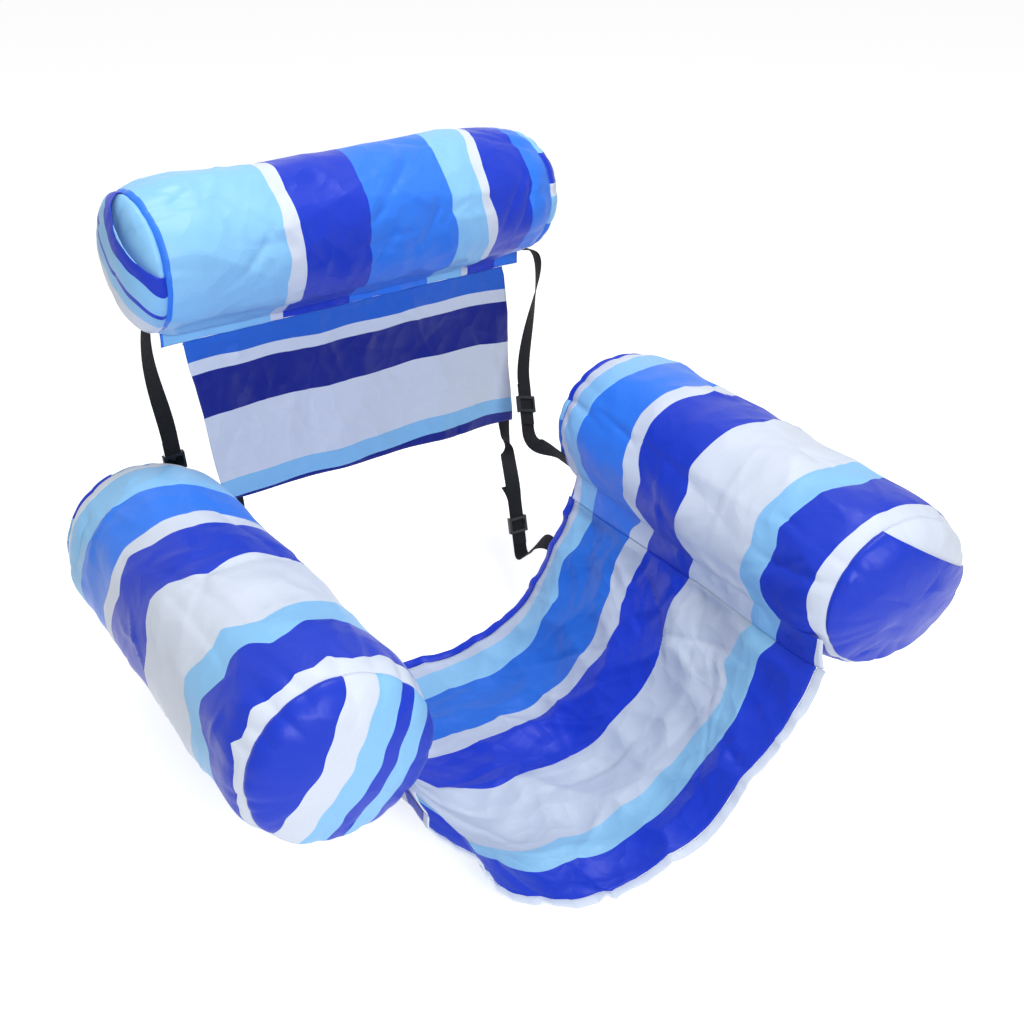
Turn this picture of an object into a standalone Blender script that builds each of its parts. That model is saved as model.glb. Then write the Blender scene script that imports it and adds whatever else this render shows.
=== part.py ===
# Inflatable pool chair: two striped arm rolls, a raised backrest roll with a
# hanging back panel, a sling seat sewn between the arms, and adjustable webbing.
# Metres, +Z up, the sitter looks along -Y. The origin is the middle of the four
# arm seams, which is where the water holds the chair up.
import math

import bpy
import bmesh
from mathutils import Matrix, Vector

# Arm rolls
ARM_LENGTH = 0.650          # between the two end seams
ARM_SEAM_RADIUS = 0.1147
ARM_SWELL = 0.0088          # the middle is this much wider than the seams
ARM_END_BULGE = 0.046       # how far an end cap domes out
CAP_FULLNESS = 2.4          # exponent of the dome's curve
ARM_AXIS_SIDE = 0.374       # from the middle of the chair to an arm's axis
ARM_LEAD = 0.054            # the right arm lies this far forward, the left as far back
ARM_LIFT = 0.030            # the right arm floats this much higher, the left lower
ARM_SPLAY_DEGREES = 1.4     # the arms open towards the back

# Backrest roll
BACK_LENGTH = 0.710
BACK_SEAM_RADIUS = 0.100
BACK_SWELL = 0.008
BACK_END_BULGE = 0.046
BACK_SIDE = 0.008           # centre of the roll, from the origin
BACK_BEHIND = 0.498
BACK_RISE = 0.358
BACK_TURN_DEGREES = 13.2
BACK_DIP_DEGREES = 1.8      # the right end hangs lower

# Cloth
CLOTH = 0.0012              # wall of sleeves, caps and sheets
SEAT_GAP = 0.0003           # between pieces that lie on each other
END_ROUNDING = 0.075        # length over which a sleeve draws in to its seam
PUCKERS = 9                 # gathers round a seam
PUCKER_DEPTH = 0.0045       # at the seam
PUCKER_FADE = 0.070         # along the roll
RIPPLE_DEPTH = 0.0012       # what is left of the gathers in the middle

# Skirt under each arm, to which the seat is sewn
SKIRT_DROP = 0.045
SLING_EDGE_GAP = 0.0007     # clears the hems' thicker ends
SKIRT_DEGREES = 40.0        # left crease, below the level of the arm's axis
SKIRT_LEAN_DEGREES = 22.0   # from plumb, towards the middle
# The right sleeve has turned on its roll, and its skirt is drawn forwards
RIGHT_SKIRT_DEGREES = 17.0
RIGHT_SKIRT_START = 0.10    # share of the arm behind the skirt
RIGHT_SKIRT_REAR_LEAN_DEGREES = 20.0
RIGHT_SKIRT_FRONT_LEAN_DEGREES = -9.0
RIGHT_SKIRT_LEAN_REACH = 0.6  # share of the arm over which the lean changes

# Sling seat
SLING_SAG_FRONT = 0.235
SLING_SAG_REAR = 0.240
SLING_FULLNESS_FRONT = 2.6  # exponent of the hanging curve
SLING_FULLNESS_REAR = 3.2
SLING_FOLD = 0.004          # shallow folds along the sling
SLING_FOLDS = 5
SLING_FOLD_DRIFT = 2.2      # radians that the folds drift sideways towards the front
SLING_COLUMNS = 22
CURVE_STEPS = 200           # fineness with which a hanging curve is measured
HEM_WIDTH = 0.014
HEM_THICKNESS = 0.0026

# Flap and back panel
FLAP_DROP = 0.020
FLAP_THICKNESS = 0.0022
FLAP_CLEAR = 0.0005         # below the roll, so that its thickness misses the gathers
PANEL_WIDTH = 0.636
PANEL_SHIFT = 0.019         # the panel hangs this far right of the roll's middle
PANEL_DROP_LEFT = 0.257
PANEL_DROP_RIGHT = 0.283
PANEL_DRAW_LEFT = 0.039     # how far the strap pulls the lower corner in
PANEL_DRAW_RIGHT = -0.014
PANEL_FORWARD = 0.023       # the lower edge hangs this far forward
PANEL_BELLY = 0.014
PANEL_FOLD = 0.003
PANEL_FOLDS = 3
PANEL_ROWS = 7
PANEL_COLUMNS = 14

# Bladders and valves
FILM = 0.0006
BLADDER_SEAM_INSET = 0.010
BLADDER_END_DOME = 0.024
BLADDER_SHOULDER_SHARES = (0.7, 0.66)   # of the dome's depth and of the seam's radius
BLADDER_SLACK = 0.0011      # the middle lies this far inside the sleeve
VALVE_BORE = 0.0040         # radii of the valve
VALVE_TUBE = 0.0058
VALVE_FLANGE = 0.0130
VALVE_FLANGE_THICKNESS = 0.0012
VALVE_DEPTH = 0.016
PLUG_HEAD = 0.0070
PLUG_HEAD_THICKNESS = 0.0020
PLUG_STEM = 0.0038
PLUG_STEM_LENGTH = 0.0060
ENVELOPE_OVERLAP = 0.050    # of the two halves of an open end cap
ENVELOPE_TURN_DEGREES = -49.0       # of the outer half's free edge, from plumb
ARM_ENVELOPE_EDGE = 0.052   # from a cap's middle to that edge
BACK_ENVELOPE_EDGE = 0.063

# Webbing and sliders
WEB_WIDTH = 0.025
WEB = 0.0014
PLY_GAP = 0.0004            # between two plies in a slider
SLIDER_LENGTH = 0.028
SLIDER_RAIL = 0.0035
SLIDER_BAR = 0.0050
SLIDER_WALL = 0.0018
SLIDER_PLAY = 0.0008
SLIDER_LEDGE = 0.0006       # the rails are this much wider beside a window
SLIDER_TRAVEL = 0.015       # either way
STRAP_END = 0.006           # webbing left past the travel

# Where the sliders hang: side, back, up from the webbing's seam on the arm for
# the two upper ones and from its seam on the sling's rear hem for the lower ones
LEFT_BACK_SLIDER = (-0.046, 0.068, 0.127)
RIGHT_BACK_SLIDER = (0.024, 0.170, 0.032)
LEFT_PANEL_SLIDER = (0.009, 0.078, 0.063)
RIGHT_PANEL_SLIDER = (0.020, 0.152, -0.032)
LEFT_STRAP_SPREAD_DEGREES = 6.0    # a back strap leaves the roll this far from plumb
RIGHT_STRAP_SPREAD_DEGREES = 80.0
STRAP_LEAD = 0.038          # the right strap first runs outward this far
ANCHOR_REACH = 0.034        # webbing runs straight back from the arm this far
ANCHOR_INSET = 0.012        # and starts this far before the seam
ARM_ANCHOR_DEGREES = 22.0   # below the level of the arm's axis
TAIL_FLARE = 0.018
TAIL_LENGTH = 0.030
TAIL_BEND_SHARE = 0.25      # of the flare, half way up the tail
STRAP_LAP = 0.020           # sewn over the cloth
STRAP_STEPS = 16            # stretches in a strap's bend
STRAP_PULL_SHARE = 1 / 3    # of the bend's span, for the curve's two handles
PANEL_SLIDER_LEAN = 0.25    # back for each unit up

# Colours
ROYAL = (0.026, 0.038, 0.610, 1.0)
BLUE = (0.031, 0.155, 0.831, 1.0)
SKY = (0.283, 0.624, 0.956, 1.0)
WHITE = (0.716, 0.776, 0.888, 1.0)
BLACK = (0.004, 0.005, 0.007, 1.0)
FILM_BLUE = (0.420, 0.640, 0.800, 1.0)

ROUND_SEGMENTS = 36
BLADDER_SEGMENTS = 20
SMALL_SEGMENTS = 16
SLING_STRAP_SHARE = 0.11    # of the sling's rear edge, from an arm to a strap
SLEEVE_RING_SHARES = (0.0, 0.022, 0.062, 0.13, 0.30, 0.50, 0.70, 0.87, 0.938, 0.978, 1.0)
CAP_RING_SHARES = (1.0, 0.94, 0.78, 0.50, 0.20)


def clear_scene():
    for item in list(bpy.data.objects):
        bpy.data.objects.remove(item, do_unlink=True)


def finish(name, colour, roughness=0.8):
    material = bpy.data.materials.new(name)
    material.use_nodes = True
    shader = material.node_tree.nodes["Principled BSDF"]
    shader.inputs["Base Color"].default_value = colour
    shader.inputs["Roughness"].default_value = roughness
    shader.inputs["Metallic"].default_value = 0.0
    return material


def add_object(name, mesh, frame, colour, roughness=0.8):
    item = bpy.data.objects.new(name, mesh)
    bpy.context.scene.collection.objects.link(item)
    item.matrix_world = frame
    mesh.materials.append(finish(name + "_finish", colour, roughness))
    mesh.shade_smooth()
    mesh.set_sharp_from_angle(angle=math.radians(40))
    return item


def mesh_from(name, points, faces):
    work = bmesh.new()
    verts = [work.verts.new(point) for point in points]
    for face in faces:
        work.faces.new([verts[index] for index in face])
    bmesh.ops.recalc_face_normals(work, faces=work.faces)
    mesh = bpy.data.meshes.new(name)
    work.to_mesh(mesh)
    work.free()
    return mesh


def turned(rings, segments):
    """Closed skin of revolution round X through rings of (along, radius at an angle)."""
    points = []
    for along, radius_at in rings:
        for step in range(segments):
            angle = 2 * math.pi * step / segments
            radius = radius_at(angle)
            points.append((along, radius * math.cos(angle), radius * math.sin(angle)))
    faces = []
    count = len(rings)
    for ring in range(count):
        after = (ring + 1) % count
        for step in range(segments):
            beside = (step + 1) % segments
            faces.append((
                ring * segments + step,
                ring * segments + beside,
                after * segments + beside,
                after * segments + step,
            ))
    return points, faces


class Roll:
    """An inflated roll: its frame has X along the axis and the origin half way."""

    def __init__(self, length, seam_radius, swell, bulge, frame):
        self.length = length
        self.radius = seam_radius + swell
        self.seam_radius = seam_radius
        self.bulge = bulge
        self.frame = frame

    def gather(self, angle):
        return 0.5 - 0.5 * math.cos(PUCKERS * angle)

    def skin(self, along, angle):
        """Outer radius of the sleeve at a place along the axis."""
        to_seam = self.length / 2 - abs(along)
        near = min(1.0, max(0.0, to_seam / END_ROUNDING))
        rounding = math.sqrt(1 - (1 - near) ** 2)
        depth = RIPPLE_DEPTH + (PUCKER_DEPTH - RIPPLE_DEPTH) * math.exp(-to_seam / PUCKER_FADE)
        full = self.seam_radius + (self.radius - self.seam_radius) * rounding
        return full - depth * self.gather(angle)

    def sleeve(self, name, colour):
        places = [(share - 0.5) * self.length for share in SLEEVE_RING_SHARES]
        outer = [(at, lambda angle, at=at: self.skin(at, angle)) for at in places]
        inner = [(at, lambda angle, at=at: self.skin(at, angle) - CLOTH) for at in reversed(places)]
        points, faces = turned(outer + inner, ROUND_SEGMENTS)
        return add_object(name, mesh_from(name, points, faces), self.frame, colour)

    def dome(self, name, end, inset):
        """Shell of an end cap, closed at the pole; end is +1 or -1."""
        base = end * (self.length / 2 + SEAT_GAP)
        points = []
        faces = []
        rows = []
        for layer in (inset, inset + CLOTH):
            bulge = self.bulge - layer
            for share in CAP_RING_SHARES:
                row = []
                lift = bulge * math.sqrt(1 - share ** CAP_FULLNESS)
                for step in range(ROUND_SEGMENTS):
                    angle = 2 * math.pi * step / ROUND_SEGMENTS
                    rim = self.skin(self.length / 2, angle) - layer
                    radius = rim * share
                    row.append(len(points))
                    points.append((
                        base + end * lift,
                        radius * math.cos(angle),
                        radius * math.sin(angle),
                    ))
                rows.append(row)
            points.append((base + end * bulge, 0.0, 0.0))
            rows.append([len(points) - 1])
        layer_rows = len(CAP_RING_SHARES) + 1
        for start in (0, layer_rows):
            for at in range(start, start + layer_rows - 1):
                self.strip(rows[at], rows[at + 1], faces)
        self.strip(rows[0], rows[layer_rows], faces)
        return mesh_from(name, points, faces)

    def strip(self, row, after, faces):
        for step in range(ROUND_SEGMENTS):
            beside = (step + 1) % ROUND_SEGMENTS
            if len(after) == 1:
                faces.append((row[step], row[beside], after[0]))
            else:
                faces.append((row[step], row[beside], after[beside], after[step]))

    def cap(self, name, end, colour):
        return add_object(name, self.dome(name, end, 0.0), self.frame, colour)

    def envelope(self, prefix, end, edge, colours):
        """An end cap in two halves that overlap like an envelope."""
        reach = 2 * self.radius
        turn = Matrix.Rotation(math.radians(ENVELOPE_TURN_DEGREES), 4, "X")
        halves = []
        for layer, (part, side) in enumerate((("outer_half", 1), ("inner_half", -1))):
            name = prefix + "_" + part
            inset = layer * (CLOTH + SEAT_GAP)
            half = add_object(name, self.dome(name, end, inset), self.frame, colours[layer])
            keep_from = -edge + layer * ENVELOPE_OVERLAP
            cut = box_mesh(name + "_cut", (2 * self.length, reach, 2 * reach))
            cutter = bpy.data.objects.new(name + "_cutter", cut)
            bpy.context.scene.collection.objects.link(cutter)
            cutter.matrix_world = self.frame @ turn @ Matrix.Translation(
                (0, keep_from - side * reach / 2, 0))
            cutter.hide_render = True
            cutter.display_type = "WIRE"
            trim = half.modifiers.new("envelope edge", "BOOLEAN")
            trim.operation = "DIFFERENCE"
            trim.object = cutter
            halves.append(half)
        return halves

    def bladder(self, name, end):
        """Thin welded skin inside the sleeve, open where its valve is welded in."""
        wall = CLOTH + SEAT_GAP
        lowest = self.radius - RIPPLE_DEPTH - wall
        seam = self.seam_radius - PUCKER_DEPTH - wall - BLADDER_SEAM_INSET
        half = self.length / 2
        deep, wide = BLADDER_SHOULDER_SHARES
        stations = (
            (half - END_ROUNDING - PUCKER_FADE, lowest - BLADDER_SLACK),
            (half - END_ROUNDING / 2, (lowest + seam) / 2),
            (half - BLADDER_SEAM_INSET, seam),
            (half - BLADDER_SEAM_INSET + BLADDER_END_DOME * deep, seam * wide),
            (half - BLADDER_SEAM_INSET + BLADDER_END_DOME, VALVE_FLANGE + SEAT_GAP),
        )
        hole = VALVE_TUBE + SEAT_GAP
        tip = stations[-1]
        outer = [(0.0, lowest)] + list(stations)
        valve_side = outer + [(tip[0], hole)]
        rings = [(-along, radius) for along, radius in reversed(outer[1:])]
        rings += valve_side
        rings = [(end * along, radius) for along, radius in rings]
        points = []
        faces = []
        rows = []
        for layer in (0.0, FILM):
            for along, radius in rings:
                # The end walls step inward along the axis, the rest towards it,
                # and the hole keeps its radius.
                at_end = abs(along) >= tip[0] - SEAT_GAP
                place = along - math.copysign(layer, along) if at_end else along
                near_axis = radius if radius == hole else radius - layer
                row = []
                for step in range(BLADDER_SEGMENTS):
                    angle = 2 * math.pi * step / BLADDER_SEGMENTS
                    row.append(len(points))
                    points.append((
                        place,
                        near_axis * math.cos(angle),
                        near_axis * math.sin(angle),
                    ))
                rows.append(row)
            points.append((-end * (tip[0] - layer), 0.0, 0.0))
            rows.append([len(points) - 1])
        per_layer = len(rings) + 1
        for start in (0, per_layer):
            for at in range(start, start + len(rings) - 1):
                band(rows[at], rows[at + 1], faces)
            fan(rows[start], rows[start + per_layer - 1][0], faces)
        band(rows[len(rings) - 1], rows[per_layer + len(rings) - 1], faces)
        mesh = mesh_from(name, points, faces)
        item = add_object(name, mesh, self.frame, FILM_BLUE, 0.35)
        return item, end * tip[0]


def band(row, after, faces):
    count = len(row)
    for step in range(count):
        beside = (step + 1) % count
        faces.append((row[step], row[beside], after[beside], after[step]))


def fan(row, pole, faces):
    count = len(row)
    for step in range(count):
        faces.append((row[step], row[(step + 1) % count], pole))


def box_mesh(name, size):
    half = [side / 2 for side in size]
    points = [
        (x * half[0], y * half[1], z * half[2])
        for x in (-1, 1) for y in (-1, 1) for z in (-1, 1)
    ]
    faces = [(0, 1, 3, 2), (4, 6, 7, 5), (0, 4, 5, 1), (2, 3, 7, 6), (0, 2, 6, 4), (1, 5, 7, 3)]
    return mesh_from(name, points, faces)


def sheet(name, grid, thickness, colour, frame=None):
    """Solid cloth of even thickness on a grid of points."""
    rows = len(grid)
    columns = len(grid[0])
    normals = []
    for r in range(rows):
        line = []
        for c in range(columns):
            along = grid[min(r + 1, rows - 1)][c] - grid[max(r - 1, 0)][c]
            across = grid[r][min(c + 1, columns - 1)] - grid[r][max(c - 1, 0)]
            line.append(along.cross(across).normalized())
        normals.append(line)
    points = []
    for side in (0.5, -0.5):
        for r in range(rows):
            for c in range(columns):
                points.append(grid[r][c] + normals[r][c] * thickness * side)
    back = rows * columns
    faces = []
    for r in range(rows - 1):
        for c in range(columns - 1):
            a = r * columns + c
            b = a + 1
            d = a + columns
            e = d + 1
            faces.append((a, b, e, d))
            faces.append((back + a, back + d, back + e, back + b))
    edge = [c for c in range(columns)]
    edge += [r * columns + columns - 1 for r in range(1, rows)]
    edge += [(rows - 1) * columns + c for c in range(columns - 2, -1, -1)]
    edge += [r * columns for r in range(rows - 2, 0, -1)]
    for at, here in enumerate(edge):
        there = edge[(at + 1) % len(edge)]
        faces.append((here, back + here, back + there, there))
    return add_object(name, mesh_from(name, points, faces), frame or Matrix.Identity(4), colour)


def arm_frame(side):
    place = Matrix.Translation((side * ARM_AXIS_SIDE, -side * ARM_LEAD, side * ARM_LIFT))
    turn = Matrix.Rotation(math.radians(90 - side * ARM_SPLAY_DEGREES), 4, "Z")
    return place @ turn


def back_frame():
    place = Matrix.Translation((BACK_SIDE, BACK_BEHIND, BACK_RISE))
    turn = Matrix.Rotation(math.radians(BACK_TURN_DEGREES), 4, "Z")
    dip = Matrix.Rotation(math.radians(BACK_DIP_DEGREES), 4, "Y")
    return place @ turn @ dip


def crease_points(roll, side):
    """Skirt's upper and lower edge and its fall, rear to front, in the chair's frame."""
    angle_below = math.radians(RIGHT_SKIRT_DEGREES if side > 0 else SKIRT_DEGREES)
    rear_lean = RIGHT_SKIRT_REAR_LEAN_DEGREES if side > 0 else SKIRT_LEAN_DEGREES
    front_lean = RIGHT_SKIRT_FRONT_LEAN_DEGREES if side > 0 else SKIRT_LEAN_DEGREES
    start = RIGHT_SKIRT_START if side > 0 else 0.0
    # In the roll's frame +Y is the chair's -X, so the inner side of the right
    # arm lies at angle 0 and that of the left arm at half a turn.
    angle = -angle_below if side > 0 else math.pi + angle_below
    upper = []
    lower = []
    falls = []
    for share in SLEEVE_RING_SHARES:
        forward = start + (1 - start) * share
        along = (0.5 - forward) * roll.length
        turned = min(1.0, forward / RIGHT_SKIRT_LEAN_REACH)
        lean = math.radians(rear_lean + (front_lean - rear_lean) * turned)
        down = Vector((-side * math.sin(lean), 0.0, -math.cos(lean)))
        radius = roll.skin(along, angle) + SEAT_GAP + CLOTH
        on_roll = Vector((along, radius * math.cos(angle), radius * math.sin(angle)))
        place = roll.frame @ on_roll
        upper.append(place)
        lower.append(place + down * SKIRT_DROP)
        falls.append(down)
    return upper, lower, falls


def hanging_row(left, right, sag, fullness):
    """Points of a hanging curve at even lengths along the cloth."""
    curve = []
    for step in range(CURVE_STEPS + 1):
        u = step / CURVE_STEPS
        drop = sag * (1 - abs(2 * u - 1) ** fullness)
        curve.append(left.lerp(right, u) - Vector((0, 0, drop)))
    run = [0.0]
    for here, there in zip(curve, curve[1:]):
        run.append(run[-1] + (there - here).length)
    row = []
    at = 0
    for step in range(SLING_COLUMNS + 1):
        want = run[-1] * step / SLING_COLUMNS
        while at < CURVE_STEPS - 1 and run[at + 1] < want:
            at += 1
        part = (want - run[at]) / (run[at + 1] - run[at])
        row.append(curve[at].lerp(curve[at + 1], part))
    return row


def make_seat(arms):
    edges = {}
    for side, name in ((-1, "left"), (1, "right")):
        upper, lower, falls = crease_points(arms[side], side)
        grid = [upper, lower]
        sheet(name + "_arm_skirt", grid, 2 * CLOTH, BLUE)
        edges[side] = [point + fall * SLING_EDGE_GAP for point, fall in zip(lower, falls)]
    rows = []
    # The sling and its hems lie between the arms' seams, one ring in from each.
    for r in range(1, len(SLEEVE_RING_SHARES) - 1):
        forward = SLEEVE_RING_SHARES[r]
        sag = SLING_SAG_REAR + (SLING_SAG_FRONT - SLING_SAG_REAR) * forward
        fullness = SLING_FULLNESS_REAR + (SLING_FULLNESS_FRONT - SLING_FULLNESS_REAR) * forward
        row = hanging_row(edges[-1][r], edges[1][r], sag, fullness)
        for c, point in enumerate(row):
            share = c / SLING_COLUMNS
            fold = math.sin(math.pi * SLING_FOLDS * share + SLING_FOLD_DRIFT * forward)
            point.z += SLING_FOLD * fold * math.sin(math.pi * share) ** 2
        rows.append(row)
    sheet("sling_seat", rows, CLOTH, ROYAL)
    hem(rows[-1], rows[-2], "sling_front_hem", WHITE)
    hem(rows[0], rows[1], "sling_rear_hem", ROYAL)
    return rows


def hem(edge, inside, name, colour):
    """Folded hem that lies just outside an edge of the sling."""
    near = []
    far = []
    for here, before in zip(edge, inside):
        out = Vector((0.0, here.y - before.y, 0.0)).normalized()
        near.append(here + out * SEAT_GAP)
        far.append(here + out * (SEAT_GAP + HEM_WIDTH))
    sheet(name, [near, far], HEM_THICKNESS, colour)


def make_back_cloth(back):
    """Flap and panel in the roll's frame: X along the roll, -Z down."""
    hem_level = -(back.radius + SEAT_GAP + FLAP_DROP)
    under = -math.pi / 2
    flap = [[], []]
    for share in SLEEVE_RING_SHARES:
        along = (share - 0.5) * back.length
        crease = back.skin(along, under) + SEAT_GAP + FLAP_CLEAR
        flap[0].append(Vector((along, 0.0, -crease)))
        flap[1].append(Vector((along, 0.0, hem_level)))
    flap_piece = sheet("backrest_flap", flap, FLAP_THICKNESS, BLUE, back.frame)
    top_level = hem_level - SEAT_GAP
    left_top = PANEL_SHIFT - PANEL_WIDTH / 2
    right_top = PANEL_SHIFT + PANEL_WIDTH / 2
    rows = []
    for r in range(PANEL_ROWS + 1):
        fall = r / PANEL_ROWS
        row = []
        for step in range(PANEL_COLUMNS + 1):
            share = step / PANEL_COLUMNS
            start = left_top + PANEL_DRAW_LEFT * fall
            stop = right_top - PANEL_DRAW_RIGHT * fall
            drop = PANEL_DROP_LEFT + (PANEL_DROP_RIGHT - PANEL_DROP_LEFT) * share
            fold = PANEL_FOLD * math.sin(2 * math.pi * PANEL_FOLDS * share) * fall
            belly = PANEL_BELLY * math.sin(math.pi * fall) * math.sin(math.pi * share)
            forward = PANEL_FORWARD * fall + fold - belly
            row.append(Vector((start + (stop - start) * share, -forward, top_level - drop * fall)))
        rows.append(row)
    panel = sheet("back_panel", rows, CLOTH, SKY, back.frame)
    turn = back.frame.to_3x3()
    corners = {}
    for side, last in ((-1, 0), (1, PANEL_COLUMNS)):
        corner = rows[-1][last]
        inward = (rows[-1][last - side] - corner).normalized()
        fall = (corner - rows[-2][last]).normalized()
        facing = inward.cross(fall) * side
        corners[side] = (back.frame @ corner, turn @ inward, turn @ fall, turn @ facing.normalized())
    return [flap_piece, panel], corners


def bezier(start, start_pull, end_pull, end):
    row = []
    for step in range(STRAP_STEPS + 1):
        u = step / STRAP_STEPS
        v = 1 - u
        row.append(start * v ** 3 + start_pull * 3 * v * v * u
                   + end_pull * 3 * v * u * u + end * u ** 3)
    return row


def ribbon(name, route, flat_ways, turning):
    """Flat webbing along a route. Its width points along the first of flat_ways,
    turns evenly through the others between the two points that turning gives,
    and then keeps to the last."""
    turn_from, turn_to = turning
    count = len(route)
    points = []
    for at, place in enumerate(route):
        run = route[min(at + 1, count - 1)] - route[max(at - 1, 0)]
        turned_by = min(1.0, max(0.0, (at - turn_from) / (turn_to - turn_from)))
        stage = turned_by * (len(flat_ways) - 1)
        passed = min(int(stage), len(flat_ways) - 2)
        wide = flat_ways[passed].lerp(flat_ways[passed + 1], stage - passed)
        run.normalize()
        wide = (wide - run * wide.dot(run)).normalized()
        thick = run.cross(wide)
        for w, t in ((-1, -1), (1, -1), (1, 1), (-1, 1)):
            points.append(place + wide * w * WEB_WIDTH / 2 + thick * t * WEB / 2)
    faces = [(3, 2, 1, 0)]
    for at in range(0, (count - 1) * 4, 4):
        after = at + 4
        # Both flat sides are split along the same diagonal, so that they stay
        # a webbing's thickness apart where it twists.
        faces += [(at, at + 1, after + 1), (at, after + 1, after)]
        faces += [(at + 3, after + 2, at + 2), (at + 3, after + 3, after + 2)]
        faces += [(at + 1, at + 2, after + 2, after + 1), (at + 3, at, after, after + 3)]
    end = (count - 1) * 4
    faces.append((end, end + 1, end + 2, end + 3))
    return add_object(name, mesh_from(name, points, faces), Matrix.Identity(4), BLACK, 0.7)


def cut(item, cutter_mesh, frame, label):
    cutter = bpy.data.objects.new(item.name + "_" + label, cutter_mesh)
    bpy.context.scene.collection.objects.link(cutter)
    cutter.matrix_world = frame
    cutter.hide_render = True
    cutter.display_type = "WIRE"
    step = item.modifiers.new(label, "BOOLEAN")
    step.operation = "DIFFERENCE"
    step.object = cutter


def make_slider(name, frame):
    """Tri-glide in its own frame: X across the webbing, Z along it. Its outer
    bars lie before both plies and its middle bar behind them."""
    inner = WEB_WIDTH + 2 * SLIDER_PLAY
    channel = 2 * WEB + 3 * PLY_GAP
    size = (inner + 2 * SLIDER_RAIL, channel + 2 * SLIDER_WALL, SLIDER_LENGTH)
    item = add_object(name, box_mesh(name, size), frame, BLACK, 0.45)
    # The cutters run past the outside and into the channel by this much.
    past = SLIDER_WALL / 2
    cut(item, box_mesh(name + "_channel", (inner, channel, size[2] + 2 * past)), frame, "channel")
    opening = inner - 2 * SLIDER_LEDGE
    depth = SLIDER_WALL + 2 * past
    out = (channel + SLIDER_WALL) / 2
    window = SLIDER_LENGTH - 2 * SLIDER_BAR
    cut(item, box_mesh(name + "_window", (opening, depth, window)),
        frame @ Matrix.Translation((0, -out, 0)), "window")
    rest = (SLIDER_LENGTH - SLIDER_BAR) / 2 + past
    for way, label in ((-1, "below"), (1, "above")):
        centre = way * (SLIDER_BAR + rest) / 2
        cut(item, box_mesh(name + "_" + label, (opening, depth, rest)),
            frame @ Matrix.Translation((0, out, centre)), label)
    return item


def slider_frame(place, upward, facing):
    """Z runs up the strap, -Y is the side that the outer bars are on."""
    z = upward.normalized()
    y = -(facing - z * facing.dot(z)).normalized()
    x = y.cross(z)
    frame = Matrix((x, y, z)).transposed().to_4x4()
    frame.translation = place
    return frame


def ply(frame, layer, at):
    """Place on one of the two plies in a slider, at a height along the strap."""
    return frame @ Vector((0.0, layer * (WEB + PLY_GAP) / 2, at))


def strap_route(sewn_at, start_way, lap, frame, layer, way):
    """From where webbing is sewn on, straight over its lap, then in one bend to
    the slider and straight through it; way is +1 from above and -1 from below."""
    reach = SLIDER_LENGTH / 2 + SLIDER_TRAVEL + STRAP_END
    near = ply(frame, layer, way * reach)
    far = ply(frame, layer, -way * reach)
    ahead = (near - far).normalized()
    start = sewn_at + start_way * lap
    finish_at = near + ahead * STRAP_END
    pull = (finish_at - start).length * STRAP_PULL_SHARE
    route = [sewn_at] if lap else []
    turn_from = len(route)
    route += bezier(start, start + start_way * pull, finish_at + ahead * pull, finish_at)
    turn_to = len(route) - 1
    route += [near, far]
    return route, (turn_from, turn_to)


def hanging_strap(name, sewn_at, start_way, flat_ways, frame, lap):
    """From the backrest down through a slider, on the ply behind."""
    route, turning = strap_route(sewn_at, start_way, lap, frame, -1, 1)
    across = frame.to_3x3() @ Vector((1, 0, 0))
    return ribbon(name, route, flat_ways + (across,), turning)


def anchor_strap(name, sewn_at, start_way, flat_way, frame, lap, flare):
    """From the seat up through a slider, on the ply before, to a loose tail."""
    route, turning = strap_route(sewn_at, start_way, lap, frame, 1, -1)
    turn = frame.to_3x3()
    up = turn @ Vector((0, 0, 1))
    out = turn @ Vector((0, 1, 0))
    top = route[-1]
    if flare:
        route += [top + up * STRAP_END, top + up * TAIL_LENGTH / 2 + out * TAIL_FLARE * TAIL_BEND_SHARE]
        route += [top + up * TAIL_LENGTH + out * TAIL_FLARE]
    return ribbon(name, route, (flat_way, turn @ Vector((1, 0, 0))), turning)


def arm_anchor(roll, side):
    """Where webbing is sewn to an arm: on its inner side, just before the rear seam."""
    along = roll.length / 2 - ANCHOR_INSET
    below = math.radians(ARM_ANCHOR_DEGREES)
    angle = -below if side > 0 else math.pi + below
    radius = roll.skin(along, angle) + WEB / 2 + PLY_GAP
    radial = Vector((0.0, math.cos(angle), math.sin(angle)))
    tangent = Vector((0.0, -math.sin(angle), math.cos(angle)))
    turn = roll.frame.to_3x3()
    return roll.frame @ (Vector((along, 0, 0)) + radial * radius), turn @ Vector((1, 0, 0)), turn @ tangent


def sling_anchor(edge, side):
    """Where webbing is sewn under the sling's rear hem, half way along one of the
    edge's straight stretches."""
    cell = int(SLING_STRAP_SHARE * SLING_COLUMNS)
    at = cell if side < 0 else len(edge) - 2 - cell
    along_edge = (edge[at + 1] - edge[at]).normalized()
    rearward = Vector((0, 1, 0))
    outward = along_edge.cross(rearward).normalized()
    outward *= -1 if outward.z > 0 else 1
    spot = edge[at].lerp(edge[at + 1], 0.5) + rearward * STRAP_END
    spot += outward * ((HEM_THICKNESS + WEB) / 2 + PLY_GAP)
    return spot, along_edge, rearward


def pivot_frame(arms):
    """The backrest swings about the line through both arm anchors."""
    left = arm_anchor(arms[-1], -1)[0]
    right = arm_anchor(arms[1], 1)[0]
    x = (right - left).normalized()
    z = (Vector((0, 0, 1)) - x * x.z).normalized()
    frame = Matrix((x, z.cross(x), z)).transposed().to_4x4()
    frame.translation = (left + right) / 2
    return frame


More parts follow.
